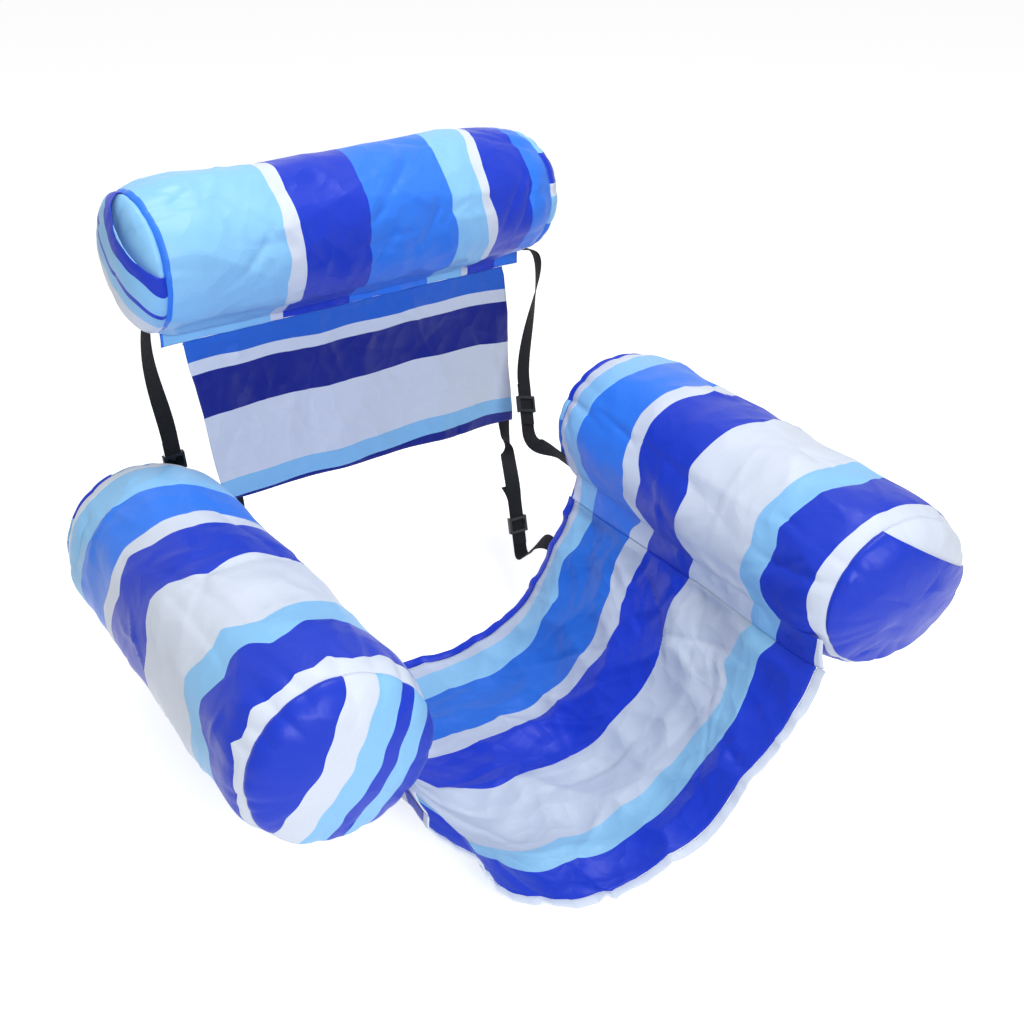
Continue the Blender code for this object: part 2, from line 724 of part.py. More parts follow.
def carry(items, frame, name):
    """Parents pieces to an empty on their joint, without moving them."""
    empty = bpy.data.objects.new(name, None)
    bpy.context.scene.collection.objects.link(empty)
    empty.matrix_world = frame
    for item in items:
        item.parent = empty
        item.matrix_parent_inverse = frame.inverted()
    return empty


def make_valve(roll, end, prefix):
    """Bladder, valve body pushed into it, and the plug in the valve's bore."""
    bladder, tip = roll.bladder(prefix + "_bladder", end)
    way = 1 if tip > 0 else -1
    face = tip + way * SEAT_GAP
    top = face + way * VALVE_FLANGE_THICKNESS
    foot = face - way * VALVE_DEPTH
    profile = (
        (top, VALVE_FLANGE), (top, VALVE_BORE), (foot, VALVE_BORE),
        (foot, VALVE_TUBE), (face, VALVE_TUBE), (face, VALVE_FLANGE),
    )
    rings = [(along, lambda angle, radius=radius: radius) for along, radius in profile]
    points, faces = turned(rings, SMALL_SEGMENTS)
    name = prefix + "_valve"
    valve = add_object(name, mesh_from(name, points, faces), roll.frame, FILM_BLUE, 0.4)
    seat = top + way * SEAT_GAP
    head = seat + way * PLUG_HEAD_THICKNESS
    stem = seat - way * PLUG_STEM_LENGTH
    profile = ((head, PLUG_HEAD), (seat, PLUG_HEAD), (seat, PLUG_STEM), (stem, PLUG_STEM))
    points = []
    faces = []
    rows = []
    for along, radius in profile:
        row = []
        for step in range(SMALL_SEGMENTS):
            angle = 2 * math.pi * step / SMALL_SEGMENTS
            row.append(len(points))
            points.append((along - seat, radius * math.cos(angle), radius * math.sin(angle)))
        rows.append(row)
    for row, after in zip(rows, rows[1:]):
        band(row, after, faces)
    faces.append(tuple(rows[0]))
    faces.append(tuple(rows[-1]))
    name = prefix + "_valve_plug"
    frame = roll.frame @ Matrix.Translation((seat, 0, 0))
    plug = add_object(name, mesh_from(name, points, faces), frame, FILM_BLUE, 0.4)
    return bladder, valve, plug


def build():
    clear_scene()
    arms = {}
    for side in (-1, 1):
        arms[side] = Roll(ARM_LENGTH, ARM_SEAM_RADIUS, ARM_SWELL, ARM_END_BULGE, arm_frame(side))
    back = Roll(BACK_LENGTH, BACK_SEAM_RADIUS, BACK_SWELL, BACK_END_BULGE, back_frame())

    # In an arm's frame +X runs to the rear.
    arms[-1].sleeve("left_arm_sleeve", BLUE)
    arms[-1].cap("left_arm_front_cap", -1, ROYAL)
    arms[-1].envelope("left_arm_rear", 1, ARM_ENVELOPE_EDGE, (BLUE, ROYAL))
    make_valve(arms[-1], 1, "left_arm")
    arms[1].sleeve("right_arm_sleeve", BLUE)
    arms[1].cap("right_arm_rear_cap", 1, ROYAL)
    arms[1].envelope("right_arm_front", -1, ARM_ENVELOPE_EDGE, (ROYAL, WHITE))
    make_valve(arms[1], -1, "right_arm")
    rows = make_seat(arms)

    swinging = [back.sleeve("backrest_sleeve", BLUE)]
    swinging.append(back.cap("backrest_right_cap", 1, SKY))
    swinging += back.envelope("backrest_left", -1, BACK_ENVELOPE_EDGE, (SKY, ROYAL))
    swinging += make_valve(back, -1, "backrest")
    cloth, corners = make_back_cloth(back)
    swinging += cloth

    places = {-1: LEFT_BACK_SLIDER, 1: RIGHT_BACK_SLIDER}
    low_places = {-1: LEFT_PANEL_SLIDER, 1: RIGHT_PANEL_SLIDER}
    names = {-1: "left", 1: "right"}
    spreads = {-1: LEFT_STRAP_SPREAD_DEGREES, 1: RIGHT_STRAP_SPREAD_DEGREES}
    back_turn = back.frame.to_3x3()
    for side in (-1, 1):
        word = names[side]
        anchor, rearward, tangent = arm_anchor(arms[side], side)
        slider_at = anchor + Vector(places[side])
        out = side * (back.length / 2 + WEB / 2 + PLY_GAP)
        start = back.frame @ Vector((out, 0, -(back.seam_radius + PLY_GAP)))
        spread = math.radians(spreads[side])
        away = back_turn @ Vector((side * math.sin(spread), 0, -math.cos(spread)))
        frame = slider_frame(slider_at, start - slider_at, Vector((0, -1, 0)))
        slider = make_slider(word + "_back_slider", frame)
        lead = STRAP_LEAD if side > 0 else 0.0
        deep = back_turn @ Vector((0, side, 0))
        strap = hanging_strap(word + "_back_strap", start, away, (deep,), frame, lead)
        swinging += [slider, strap]
        anchor_strap(word + "_arm_strap", anchor, rearward, tangent, frame, ANCHOR_REACH, False)

        corner, inward, fall, facing = corners[side]
        spot, along_edge, rearward = sling_anchor(rows[0], side)
        low_at = spot + Vector(low_places[side])
        low = slider_frame(low_at, Vector((0, PANEL_SLIDER_LEAN, 1)), Vector((0, -1, 0)))
        make_slider(word + "_panel_slider", low)
        start = corner + inward * (WEB_WIDTH / 2 + STRAP_END) - fall * STRAP_LAP
        start -= facing * ((WEB + CLOTH) / 2 + 2 * PLY_GAP)
        lap = STRAP_LAP + 2 * WEB
        # The right strap is twisted by half a turn on its way down.
        ways = (inward, facing) if side > 0 else (inward,)
        hanging_strap(word + "_panel_strap", start, fall, ways, low, lap)
        anchor_strap(word + "_sling_strap", spot, rearward, along_edge, low, HEM_WIDTH, True)
    carry(swinging, pivot_frame(arms), "backrest_pivot")


build()
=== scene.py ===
import math

import bmesh
import bpy
import numpy as np
from mathutils import Matrix, Vector


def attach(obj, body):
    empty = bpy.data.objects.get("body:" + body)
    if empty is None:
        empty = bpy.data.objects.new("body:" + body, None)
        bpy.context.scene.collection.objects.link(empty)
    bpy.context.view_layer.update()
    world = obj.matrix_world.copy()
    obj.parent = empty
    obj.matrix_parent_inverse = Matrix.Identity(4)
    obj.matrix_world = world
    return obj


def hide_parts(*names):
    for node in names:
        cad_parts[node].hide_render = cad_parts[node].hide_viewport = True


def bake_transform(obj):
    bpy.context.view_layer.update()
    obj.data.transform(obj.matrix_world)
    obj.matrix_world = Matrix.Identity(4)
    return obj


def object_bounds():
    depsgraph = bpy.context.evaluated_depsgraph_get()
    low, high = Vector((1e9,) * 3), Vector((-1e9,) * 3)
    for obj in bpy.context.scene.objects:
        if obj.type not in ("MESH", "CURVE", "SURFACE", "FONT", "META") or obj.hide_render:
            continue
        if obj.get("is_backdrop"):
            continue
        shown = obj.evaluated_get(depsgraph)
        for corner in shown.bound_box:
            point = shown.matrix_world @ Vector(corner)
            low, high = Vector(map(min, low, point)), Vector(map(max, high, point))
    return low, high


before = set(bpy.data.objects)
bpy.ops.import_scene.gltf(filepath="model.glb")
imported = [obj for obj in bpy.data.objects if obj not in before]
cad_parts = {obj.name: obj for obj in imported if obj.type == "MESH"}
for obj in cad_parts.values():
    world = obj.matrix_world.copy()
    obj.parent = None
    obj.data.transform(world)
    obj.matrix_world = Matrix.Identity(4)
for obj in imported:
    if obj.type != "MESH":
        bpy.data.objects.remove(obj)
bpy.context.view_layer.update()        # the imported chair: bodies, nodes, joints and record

# The chair: two inflated arm rolls, an inflated backrest roll with a hanging panel,
# a sling sewn between the arms, and black webbing with four tri-glide sliders.
# Metres throughout. Colours are sRGB hex values.
print("chair: frame loaded")

chair = {
    "armLength": 0.650,        # between the two end seams
    "armSeamRadius": 0.1147,
    "armAxisSide": 0.374,      # from the middle of the chair to an arm's axis
    "armLead": 0.054,          # the right arm lies this far forward, the left as far back
    "armLift": 0.030,
    "armSplay": 1.4,           # degrees
    "backLength": 0.710,
    "backSeamRadius": 0.100,
    "backPlace": (0.008, 0.498, 0.358),
    "backTurn": 13.2,          # degrees
    "backDip": 1.8,
    "cloth": 0.0009,           # thickness of the coated cloth
}
armLength = chair["armLength"]
fullTurn = 2 * math.pi

inks = {
    "royal": "#1236C6",
    "blue": "#2F7CF0",
    "sky": "#8CC8F6",
    "white": "#D8E1F0",
    "slingShadedWhite": "#C2CCDC",   # painted shade: darker copies of the inks for the sling, one ply of cloth with nothing behind it
    "slingBlue": "#266DD5",
    "slingSky": "#8EC5E8",
    # painted shade: darker copies of royal and blue for the panel, which hangs in shade
    "panelNavy": "#0B1C88",
    "panelBlue": "#2566D2",
    "webbing": "#0A0C10",
    "slider": "#15181C",
    # partly painted shade: the thread's own colour darkened for the shade of the needle holes along the seams
    "thread": "#27356F",
    "film": "#A9CDE6",
    "vinyl": "#C4DAE8",
}


def toLinear(hexColour):
    parts = [int(hexColour[at:at + 2], 16) / 255 for at in (1, 3, 5)]
    return [c / 12.92 if c <= 0.04045 else ((c + 0.055) / 1.055) ** 2.4 for c in parts] + [1.0]


def addNode(tree, kind, settings=None, links=None):
    # settings holds attributes and socket values, links holds socket: (node, output)
    node = tree.nodes.new(kind)
    for key, value in (settings or {}).items():
        if isinstance(key, str) and hasattr(node, key):
            setattr(node, key, value)
        else:
            node.inputs[key].default_value = value
    for key, (source, output) in (links or {}).items():
        tree.links.new(source.outputs[output], node.inputs[key])
    return node


def newMaterial(name):
    material = bpy.data.materials.new(name)
    material.use_nodes = True
    tree = material.node_tree
    tree.nodes.clear()
    return material, tree


def closeMaterial(tree, settings, links):
    # What is the same all over the surface is set on the shader's own sockets
    shader = addNode(tree, "ShaderNodeBsdfPrincipled", settings, links)
    addNode(tree, "ShaderNodeOutputMaterial", {}, {"Surface": (shader, "BSDF")})


# Printed cloth of the rolls
clothLook = {
    "roughness": 0.37,
    "specular": 0.24,
    "sheen": 0.03,
    "threadPitch": 0.0016,     # real threads lie 0.3 mm apart, too fine to show
    "weaveHeight": 0.00004,
    "crinkle": 0.060,          # size of the soft crinkles left by packing, metres
    "crinkleHeight": 0.0005,
    "facet": 0.042,            # size of the small flat facets between creases
    "facetHeight": 0.0026,
    "facetBend": 0.022,        # how far the crinkles bend the edges of the facets
    "fineCrinkle": 0.012,
    "fineHeight": 0.00012,
    "fading": 0.03,
    "faded": "#9DB7EE",
    "fadedPatches": 11.0,      # in a metre
}
limpLook = {**clothLook, "facet": 0.036, "facetHeight": 0.0042}     # cloth that hangs free


def clothBump(tree, place, look):
    # Plain weave from two crossed bands, over flat facets and crinkles of two sizes
    crinkle = addNode(tree, "ShaderNodeTexNoise", {
        "Scale": 1 / look["crinkle"], "Detail": 1.0, "Roughness": 0.4, "Distortion": 0.4,
    }, {"Vector": place})
    bent = addNode(tree, "ShaderNodeMix", {"data_type": "VECTOR", "Factor": look["facetBend"]},
                   {4: place, 5: (crinkle, "Color")})
    facets = addNode(tree, "ShaderNodeTexVoronoi", {
        "feature": "F1", "Scale": 1 / look["facet"], "Randomness": 1.0,
    }, {"Vector": (bent, 1)})
    small = addNode(tree, "ShaderNodeTexNoise", {
        "Scale": 1 / look["fineCrinkle"], "Detail": 2.0, "Roughness": 0.5, "Distortion": 0.2,
    }, {"Vector": place})
    bands = [addNode(tree, "ShaderNodeTexWave", {
        "wave_type": "BANDS", "bands_direction": way, "wave_profile": "SIN",
        "Scale": 1 / look["threadPitch"] / 20 * fullTurn, "Distortion": 0.4, "Detail": 1.0,
    }, {"Vector": place}) for way in ("X", "Y")]
    weave = addNode(tree, "ShaderNodeMath", {"operation": "MULTIPLY"},
                    {0: (bands[0], "Fac"), 1: (bands[1], "Fac")})
    bump = None
    for height, strength, distance in (
        ((crinkle, "Fac"), 0.8, look["crinkleHeight"] * 4), ((facets, "Distance"), 0.8, look["facetHeight"]),
        ((small, "Fac"), 0.8, look["fineHeight"] * 4), ((weave, 0), 0.6, look["weaveHeight"] * 4),
    ):
        links = {"Height": height}
        if bump:
            links["Normal"] = (bump, "Normal")
        bump = addNode(tree, "ShaderNodeBump", {"Strength": strength, "Distance": distance}, links)
    return bump


def stripedCloth(name, stripes, span, start=0.0, look=clothLook):
    # Coated polyester taffeta, woven and printed: a satin sheen over soft crinkles.
    # stripes lists (end share, ink) along the first direction of the map "cloth".
    material, tree = newMaterial(name)
    uv = addNode(tree, "ShaderNodeUVMap", {"uv_map": "cloth"})
    parts = addNode(tree, "ShaderNodeSeparateXYZ", {}, {0: (uv, "UV")})
    share = addNode(tree, "ShaderNodeMapRange", {
        "From Min": start, "From Max": start + span, "To Min": 0.0, "To Max": 1.0, "clamp": True,
    }, {"Value": (parts, "X")})
    ramp = addNode(tree, "ShaderNodeValToRGB", {}, {"Fac": (share, 0)})
    ramp.color_ramp.interpolation = "CONSTANT"
    stops = ramp.color_ramp.elements
    stops.remove(stops[1])
    stops[0].color = toLinear(inks[stripes[0][1]])
    for (place, _), (_, ink) in zip(stripes, stripes[1:]):
        stops.new(place).color = toLinear(inks[ink])
    fade = addNode(tree, "ShaderNodeTexNoise", {"Scale": look["fadedPatches"], "Detail": 2.0},
                   {"Vector": (uv, "UV")})
    amount = addNode(tree, "ShaderNodeMath", {"operation": "MULTIPLY", 1: look["fading"]}, {0: (fade, "Fac")})
    worn = addNode(tree, "ShaderNodeMix", {"data_type": "RGBA", 7: toLinear(look["faded"])},
                   {0: (amount, 0), 6: (ramp, "Color")})
    gloss = addNode(tree, "ShaderNodeMapRange", {
        "From Min": 0.3, "From Max": 0.7, "To Min": look["roughness"] - 0.05, "To Max": look["roughness"] + 0.07,
    }, {"Value": (fade, "Fac")})
    bump = clothBump(tree, (uv, "UV"), look)
    closeMaterial(tree, {
        "Sheen Weight": look["sheen"], "Sheen Roughness": 0.4, "IOR": 1.5, "Specular IOR Level": look["specular"],
    }, {"Base Color": (worn, 2), "Roughness": (gloss, 0), "Normal": (bump, "Normal")})
    return material


def plainCloth(name, ink):
    return stripedCloth(name, [(0.5, ink), (1.0, ink)], 1.0)


webLook = {
    "rib": 0.0022,             # pitch of the herringbone, drawn as it shows
    "ribHeight": 0.00022,
    "ribTurn": 0.7,            # radians from the webbing's run
    "roughness": 0.72,
    "specular": 0.25,
    "glint": "#171A20",
}


def wovenWebbing(name, look=webLook):
    # Polypropylene webbing, woven flat: matt black with a faint dry sheen on each rib
    material, tree = newMaterial(name)
    uv = addNode(tree, "ShaderNodeUVMap", {"uv_map": "cloth"})
    bands = []
    for turn in (look["ribTurn"], -look["ribTurn"]):
        turned = addNode(tree, "ShaderNodeMapping", {"Rotation": (0.0, 0.0, turn)}, {"Vector": (uv, "UV")})
        bands.append(addNode(tree, "ShaderNodeTexWave", {
            "wave_type": "BANDS", "bands_direction": "X", "Scale": fullTurn / 20 / look["rib"],
        }, {"Vector": (turned, "Vector")}))
    both = addNode(tree, "ShaderNodeMath", {"operation": "MAXIMUM"},
                   {0: (bands[0], "Fac"), 1: (bands[1], "Fac")})
    bump = addNode(tree, "ShaderNodeBump", {"Strength": 0.9, "Distance": look["ribHeight"] * 4},
                   {"Height": (both, 0)})
    # painted highlight: the crest of each rib is tinted towards the glint colour
    power = addNode(tree, "ShaderNodeMath", {"operation": "POWER", 1: 4.0}, {0: (both, 0)})
    tint = addNode(tree, "ShaderNodeMix", {
        "data_type": "RGBA", 6: toLinear(inks["webbing"]), 7: toLinear(look["glint"]),
    }, {0: (power, 0)})
    closeMaterial(tree, {"Roughness": look["roughness"], "Specular IOR Level": look["specular"]},
                  {"Base Color": (tint, 2), "Normal": (bump, "Normal")})
    return material


def mouldedPlastic(name, ink, roughness, grain, height, ior=1.48):
    # Moulded or welded plastic: even and smooth, with a faint grain that breaks its highlight
    material, tree = newMaterial(name)
    where = addNode(tree, "ShaderNodeTexCoord")
    noise = addNode(tree, "ShaderNodeTexNoise", {"Scale": 1 / grain, "Detail": 2.0}, {"Vector": (where, "Object")})
    bump = addNode(tree, "ShaderNodeBump", {"Strength": 0.7, "Distance": height * 4}, {"Height": (noise, "Fac")})
    gloss = addNode(tree, "ShaderNodeMapRange", {"To Min": roughness - 0.05, "To Max": roughness + 0.08},
                    {"Value": (noise, "Fac")})
    base = toLinear(inks[ink])
    pale = [min(1.0, c * 1.25 + 0.002) for c in base[:3]] + [1.0]
    tint = addNode(tree, "ShaderNodeMix", {"data_type": "RGBA", 6: base, 7: pale}, {0: (noise, "Fac")})
    closeMaterial(tree, {"IOR": ior},
                  {"Base Color": (tint, 2), "Roughness": (gloss, 0), "Normal": (bump, "Normal")})
    return material


def sewingThread(name, ink):
    # Bonded polyester thread, twisted: slightly glossier than the cloth
    material, tree = newMaterial(name)
    where = addNode(tree, "ShaderNodeTexCoord")
    twist = addNode(tree, "ShaderNodeTexWave", {
        "wave_type": "BANDS", "bands_direction": "DIAGONAL", "Scale": 220.0,
    }, {"Vector": (where, "Object")})
    bump = addNode(tree, "ShaderNodeBump", {"Strength": 0.5, "Distance": 0.0002}, {"Height": (twist, "Fac")})
    base = toLinear(inks[ink])
    # painted shade: the grooves of the twist are darker
    dark = [c * 0.7 for c in base[:3]] + [1.0]
    shade = addNode(tree, "ShaderNodeMix", {"data_type": "RGBA", 6: dark, 7: base}, {0: (twist, "Fac")})
    closeMaterial(tree, {"Roughness": 0.5}, {"Base Color": (shade, 2), "Normal": (bump, "Normal")})
    return material


def armStripes(skyEnd=0.11, royalEnd=0.95, blue="blue", sky="sky", white="white"):
    # Shares of the arm's length from the rear seam to the front one
    return [(0.008, "royal"), (0.045, white), (skyEnd, sky), (0.29, blue), (0.345, white),
            (0.51, "royal"), (0.75, white), (0.835, sky), (royalEnd, "royal"), (1.0, white)]


backStripes = [
    (0.004, "blue"), (0.236, "sky"), (0.27, "white"), (0.45, "royal"), (0.676, "blue"), (0.78, "sky"),
    (0.80, "white"), (0.902, "royal"), (1.0, "blue"),
]
panelStripes = [               # shares of the print's drop, from the flap down; its royal and blue in painted shade
    (0.13, "panelBlue"), (0.209, "white"), (0.469, "panelNavy"), (0.865, "white"), (0.965, "sky"), (1.0, "panelNavy"),
]
panelPrintDrop = 0.270
# The sling's stripes in the darker inks, which paint the shade on the hanging sling
slingStripes = armStripes(royalEnd=0.993, blue="slingBlue", sky="slingSky", white="slingShadedWhite")

rightArmCloth = stripedCloth("printedTaffetaRightArm", armStripes(), armLength)
leftArmCloth = stripedCloth("printedTaffetaLeftArm", armStripes(skyEnd=0.145), armLength)
backCloth = stripedCloth("printedTaffetaBackrest", backStripes, chair["backLength"], look=limpLook)
slingCloth = stripedCloth("printedTaffetaSling", slingStripes, armLength, look=limpLook)
panelCloth = stripedCloth("printedTaffetaPanel", panelStripes, panelPrintDrop, look=limpLook)
whiteHem = plainCloth("foldedTaffetaHemWhite", "white")
royalHem = plainCloth("foldedTaffetaHemRoyal", "royal")
webbing = wovenWebbing("polypropyleneWebbing")
acetal = mouldedPlastic("mouldedAcetalSlider", "slider", 0.34, 0.0016, 0.00003)     # a small soft highlight
film = mouldedPlastic("weldedVinylFilm", "film", 0.18, 0.02, 0.0002, ior=1.53)      # slick and a little wavy
vinyl = mouldedPlastic("mouldedVinylValve", "vinyl", 0.32, 0.002, 0.00003, ior=1.53)
# Navy thread, partly its own colour and partly painted shade along the seams
navyThreadWithSeamShade = sewingThread("polyesterThreadWithSeamShade", "thread")
whiteThread = sewingThread("polyesterThreadWhite", "white")
print("chair: materials made")

camera = {
    "place": (-0.8506, -1.4686, 0.9446),
    "right": (0.86187, -0.50712, 0.00241),
    "up": (0.22874, 0.39298, 0.89064),
    "forward": (0.45261, 0.76707, -0.45469),
    "lens": 49.26,
}


def linkPiece(name, data):
    item = bpy.data.objects.new(name, data)
    bpy.context.scene.collection.objects.link(item)
    return item


def placeCamera(look):
    data = bpy.data.cameras.new("photoCamera")
    data.lens = look["lens"]
    data.sensor_width = 36.0
    item = linkPiece("photoCamera", data)
    right, up, forward = (Vector(look[key]) for key in ("right", "up", "forward"))
    turn = Matrix((right, up, -forward)).transposed().to_4x4()
    item.matrix_world = Matrix.Translation(look["place"]) @ turn
    bpy.context.scene.camera = item


placeCamera(camera)


def dress(piece, node, body):
    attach(piece, body)
    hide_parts(node)


def addWall(item, thickness, evenNormals=False):
    wall = item.modifiers.new("wall", "SOLIDIFY")
    wall.thickness = thickness
    wall.offset = -1.0
    wall.use_quality_normals = evenNormals


def makePiece(name, points, faces, cornerUv, material, thickness=0.0):
    mesh = bpy.data.meshes.new(name)
    mesh.from_pydata([tuple(point) for point in points], [], faces)
    layer = mesh.uv_layers.new(name="cloth")
    layer.data.foreach_set("uv", np.asarray(cornerUv, dtype=np.float32).ravel())
    mesh.materials.append(material)
    mesh.shade_smooth()
    item = linkPiece(name, mesh)
    if thickness:
        addWall(item, thickness, evenNormals=True)
    return item


def gridFaces(rows, columns, wrap=False, flip=False):
    # Faces and, for each corner, (row, column) into a map that has one more column when wrapped
    faces = []
    corners = []
    last = columns if wrap else columns - 1
    for r in range(rows - 1):
        for c in range(last):
            ring = [(r, c), (r, c + 1), (r + 1, c + 1), (r + 1, c)]
            if flip:
                ring.reverse()
            faces.append([row * columns + column % columns for row, column in ring])
            corners += ring
    return faces, np.array(corners)


def gridPiece(name, grid, uv, material, thickness=0.0, wrap=False, flip=False):
    rows, columns = grid.shape[:2]
    faces, corners = gridFaces(rows, columns, wrap, flip)
    cornerUv = uv[corners[:, 0], corners[:, 1]]
    return makePiece(name, grid.reshape(-1, 3), faces, cornerUv, material, thickness)


def throughFrame(matrix, points):
    m = np.array(matrix)
    return points @ m[:3, :3].T + m[:3, 3]


def unit(vectors):
    return vectors / np.linalg.norm(vectors, axis=-1, keepdims=True)


def gridNormals(grid):
    normal = np.cross(np.gradient(grid, axis=0), np.gradient(grid, axis=1))
    return normal / np.maximum(np.linalg.norm(normal, axis=2, keepdims=True), 1e-12)


def lengthsAlong(route):
    return np.concatenate([[0.0], np.cumsum(np.linalg.norm(np.diff(route, axis=0), axis=1))])


def ringAngles(count):
    return np.arange(count) * fullTurn / count


def wrapped(gap, around=fullTurn):
    # The shorter way round a closed girth or a full turn
    return (gap + around / 2) % around - around / 2


def smoothRise(value):
    value = np.clip(value, 0, 1)
    return value * value * (3 - 2 * value)


def closedSweep(name, route, wide, thick, halfWide, halfThick, rounding, material):
    # Rounded flat section carried along a route and closed; the map runs along it and across its width
    outline = []
    for corner in range(4):
        centre = ((halfWide - rounding) * (1 if corner in (0, 3) else -1),
                  (halfThick - rounding) * (1 if corner in (0, 1) else -1))
        for step in range(3):
            angle = math.radians(corner * 90 + step * 45)
            outline.append((centre[0] + rounding * math.cos(angle), centre[1] + rounding * math.sin(angle)))
    outline = np.array(outline)
    grid = route[:, None, :] + wide[:, None, :] * outline[None, :, :1] + thick[:, None, :] * outline[None, :, 1:]
    rows, columns = grid.shape[:2]
    faces, corners = gridFaces(rows, columns, wrap=True)
    run = lengthsAlong(route)
    across = np.concatenate([outline[:, 0], outline[:1, 0]])
    cornerUv = np.stack([run[corners[:, 0]], across[corners[:, 1]]], axis=1)
    endFaces = [list(range(columns))[::-1], [(rows - 1) * columns + c for c in range(columns)]]
    endUv = [(run[index // columns], outline[index % columns, 0]) for face in endFaces for index in face]
    item = makePiece(name, grid.reshape(-1, 3), faces + endFaces, np.concatenate([cornerUv, endUv]), material)
    work = bmesh.new()
    work.from_mesh(item.data)
    bmesh.ops.recalc_face_normals(work, faces=work.faces)
    work.to_mesh(item.data)
    work.free()
    item.data.set_sharp_from_angle(angle=math.radians(50))
    return item


def makeCreases(seed, low, high, count, reach, width, depth, lean=None):
    # Straight creases on flat cloth: centre, direction, half length, width, depth
    draw = np.random.RandomState(seed)
    creases = []
    for _ in range(count):
        angle = draw.uniform(0, math.pi) if lean is None else draw.normal(lean[0], lean[1])
        creases.append((
            draw.uniform(low[0], high[0]), draw.uniform(low[1], high[1]),
            math.cos(angle), math.sin(angle),
            draw.uniform(*reach), draw.uniform(*width), draw.uniform(*depth) * draw.choice((-1.0, -1.0, 1.0)),
        ))
    return creases


def creaseDepth(creases, x, y, around=0.0):
    # Height of the creases at places on the cloth; around is the girth where it closes on itself
    total = np.zeros(np.broadcast(x, y).shape)
    for cx, cy, dx, dy, reach, width, depth in creases:
        gx = x - cx
        gy = wrapped(y - cy, around) if around else y - cy
        alongIt = gx * dx + gy * dy
        bow = 0.12 * alongIt ** 2 / reach
        beside = np.abs(-gx * dy + gy * dx + bow)
        window = np.clip(1 - (alongIt / reach) ** 2, 0, 1) ** 1.5
        spread = width * (0.55 + 0.45 * window)
        total += depth * np.exp(-beside / spread) * window
    return total


def crumple(seed, x, y, low, high, cell, slope, around=0.0):
    # Flat facets between sharp ridges, as cloth keeps them after it was folded away
    draw = np.random.RandomState(seed)
    count = int((high[0] - low[0] + 2 * cell) * (high[1] - low[1] + 2 * cell) / cell ** 2)
    nearest = np.full(np.broadcast(x, y).shape, 9.0)
    for _ in range(count):
        cx = draw.uniform(low[0] - cell, high[0] + cell)
        cy = draw.uniform(low[1] - cell, high[1] + cell)
        lift = draw.uniform(0, 0.8 * cell)
        turn, stretch = draw.uniform(0, math.pi), draw.uniform(0.6, 1.0)
        gx = x - cx
        gy = wrapped(y - cy, around) if around else y - cy
        a = gx * math.cos(turn) + gy * math.sin(turn)
        b = -gx * math.sin(turn) + gy * math.cos(turn)
        nearest = np.minimum(nearest, np.sqrt((a * stretch) ** 2 + b ** 2 + (0.25 * cell) ** 2) + lift)
    return slope * (nearest - nearest.mean())


def waveHeight(seed, along, angle, turns, runs, heights):
    # Long soft waves round a roll: whole turns, radians per metre along, heights
    draw = np.random.RandomState(seed)
    total = np.zeros(np.broadcast(along, angle).shape)
    for turn, height in zip(turns, heights):
        run, phase = draw.uniform(*runs), draw.uniform(0, fullTurn)
        total += height * np.cos(turn * angle + run * along + phase)
    return total


rollLook = {
    "columns": 176,
    "rows": 116,
    "crowding": 0.62,          # below 1 the rows stand closer together near both seams
    "capRows": 40,
    "rounding": 0.075,         # length over which a sleeve draws in to its seam
    "roundingPower": 2.4,
    "capPower": 2.6,
    "gathers": 21,             # round each seam
    "waves": ((3, 5, 7, 9), (-4, 4), (0.0010, 0.0011, 0.0010, 0.0006)),
    "creases": (46, (0.035, 0.12), (0.0035, 0.009), (0.0016, 0.0050)),      # count, half length, width, depth
    "longCreases": (14, (0.10, 0.24), (0.008, 0.018), (0.0014, 0.0034), (0.0, 0.25)),
    "capCreases": (14, (0.02, 0.07), (0.005, 0.012), (0.0010, 0.0028)),
    "facet": 0.080,            # size of the flat facets left by folding
    "facetSlope": 0.095,
    "fuller": 0.0030,          # makes up for what the creases take off the girth
    "seamPinch": 0.0026,       # the seam lies this deep between sleeve and cap
    "seamPinchWidth": 0.0042,
    "seamAllowance": 0.004,    # turned in
    "cuspHeight": 0.0045,      # the skirt pulls the sleeve out along its crease
    "cuspWidth": 0.016,
}


def armFrame(side):
    place = Matrix.Translation((side * chair["armAxisSide"], -side * chair["armLead"], side * chair["armLift"]))
    return place @ Matrix.Rotation(math.radians(90 - side * chair["armSplay"]), 4, "Z")


def backFrame():
    return (Matrix.Translation(chair["backPlace"])
            @ Matrix.Rotation(math.radians(chair["backTurn"]), 4, "Z")
            @ Matrix.Rotation(math.radians(chair["backDip"]), 4, "Y"))


# How far each stripe's edge lies before its even place, mm, at angles round the roll in degrees
rightArmEdges = {
    0.11: ((-17, 50), (-14, 32), (-8, 12), (9, -1), (25, -3), (43, 0), (57, 14), (81, 18), (123, -12)),
    0.29: ((-17, 62), (-14, 28), (-9, 13), (-4, 16), (18, -1), (29, -7), (49, -15), (71, -9), (94, 4), (123, -18)),
    0.345: ((-17, 60), (-14, 32), (-10, 12), (9, 20), (19, 0), (30, -13), (47, -17), (66, -15), (88, 0), (109, -1)),
    0.51: ((-17, 54), (-14, 22), (-10, 8), (-3, 10), (21, 16), (31, 5), (38, 1), (57, 6), (78, 11), (97, 17),
           (123, 13)),
    0.75: ((-17, 34), (-14, 20), (-9, 4), (-1, 3), (17, 19), (29, 6), (40, 6), (51, 16), (74, 22), (91, 22), (123, 12)),
    0.835: ((-17, 28), (-14, 8), (-9, -5), (0, -11), (24, 2), (34, -10), (48, 0), (66, 8), (91, 19), (123, -1)),
    0.95: ((-17, 34), (-14, 20), (-10, 10), (9, 4), (21, 4), (37, 6), (57, 13), (76, 15), (98, 14), (123, 12)),
}
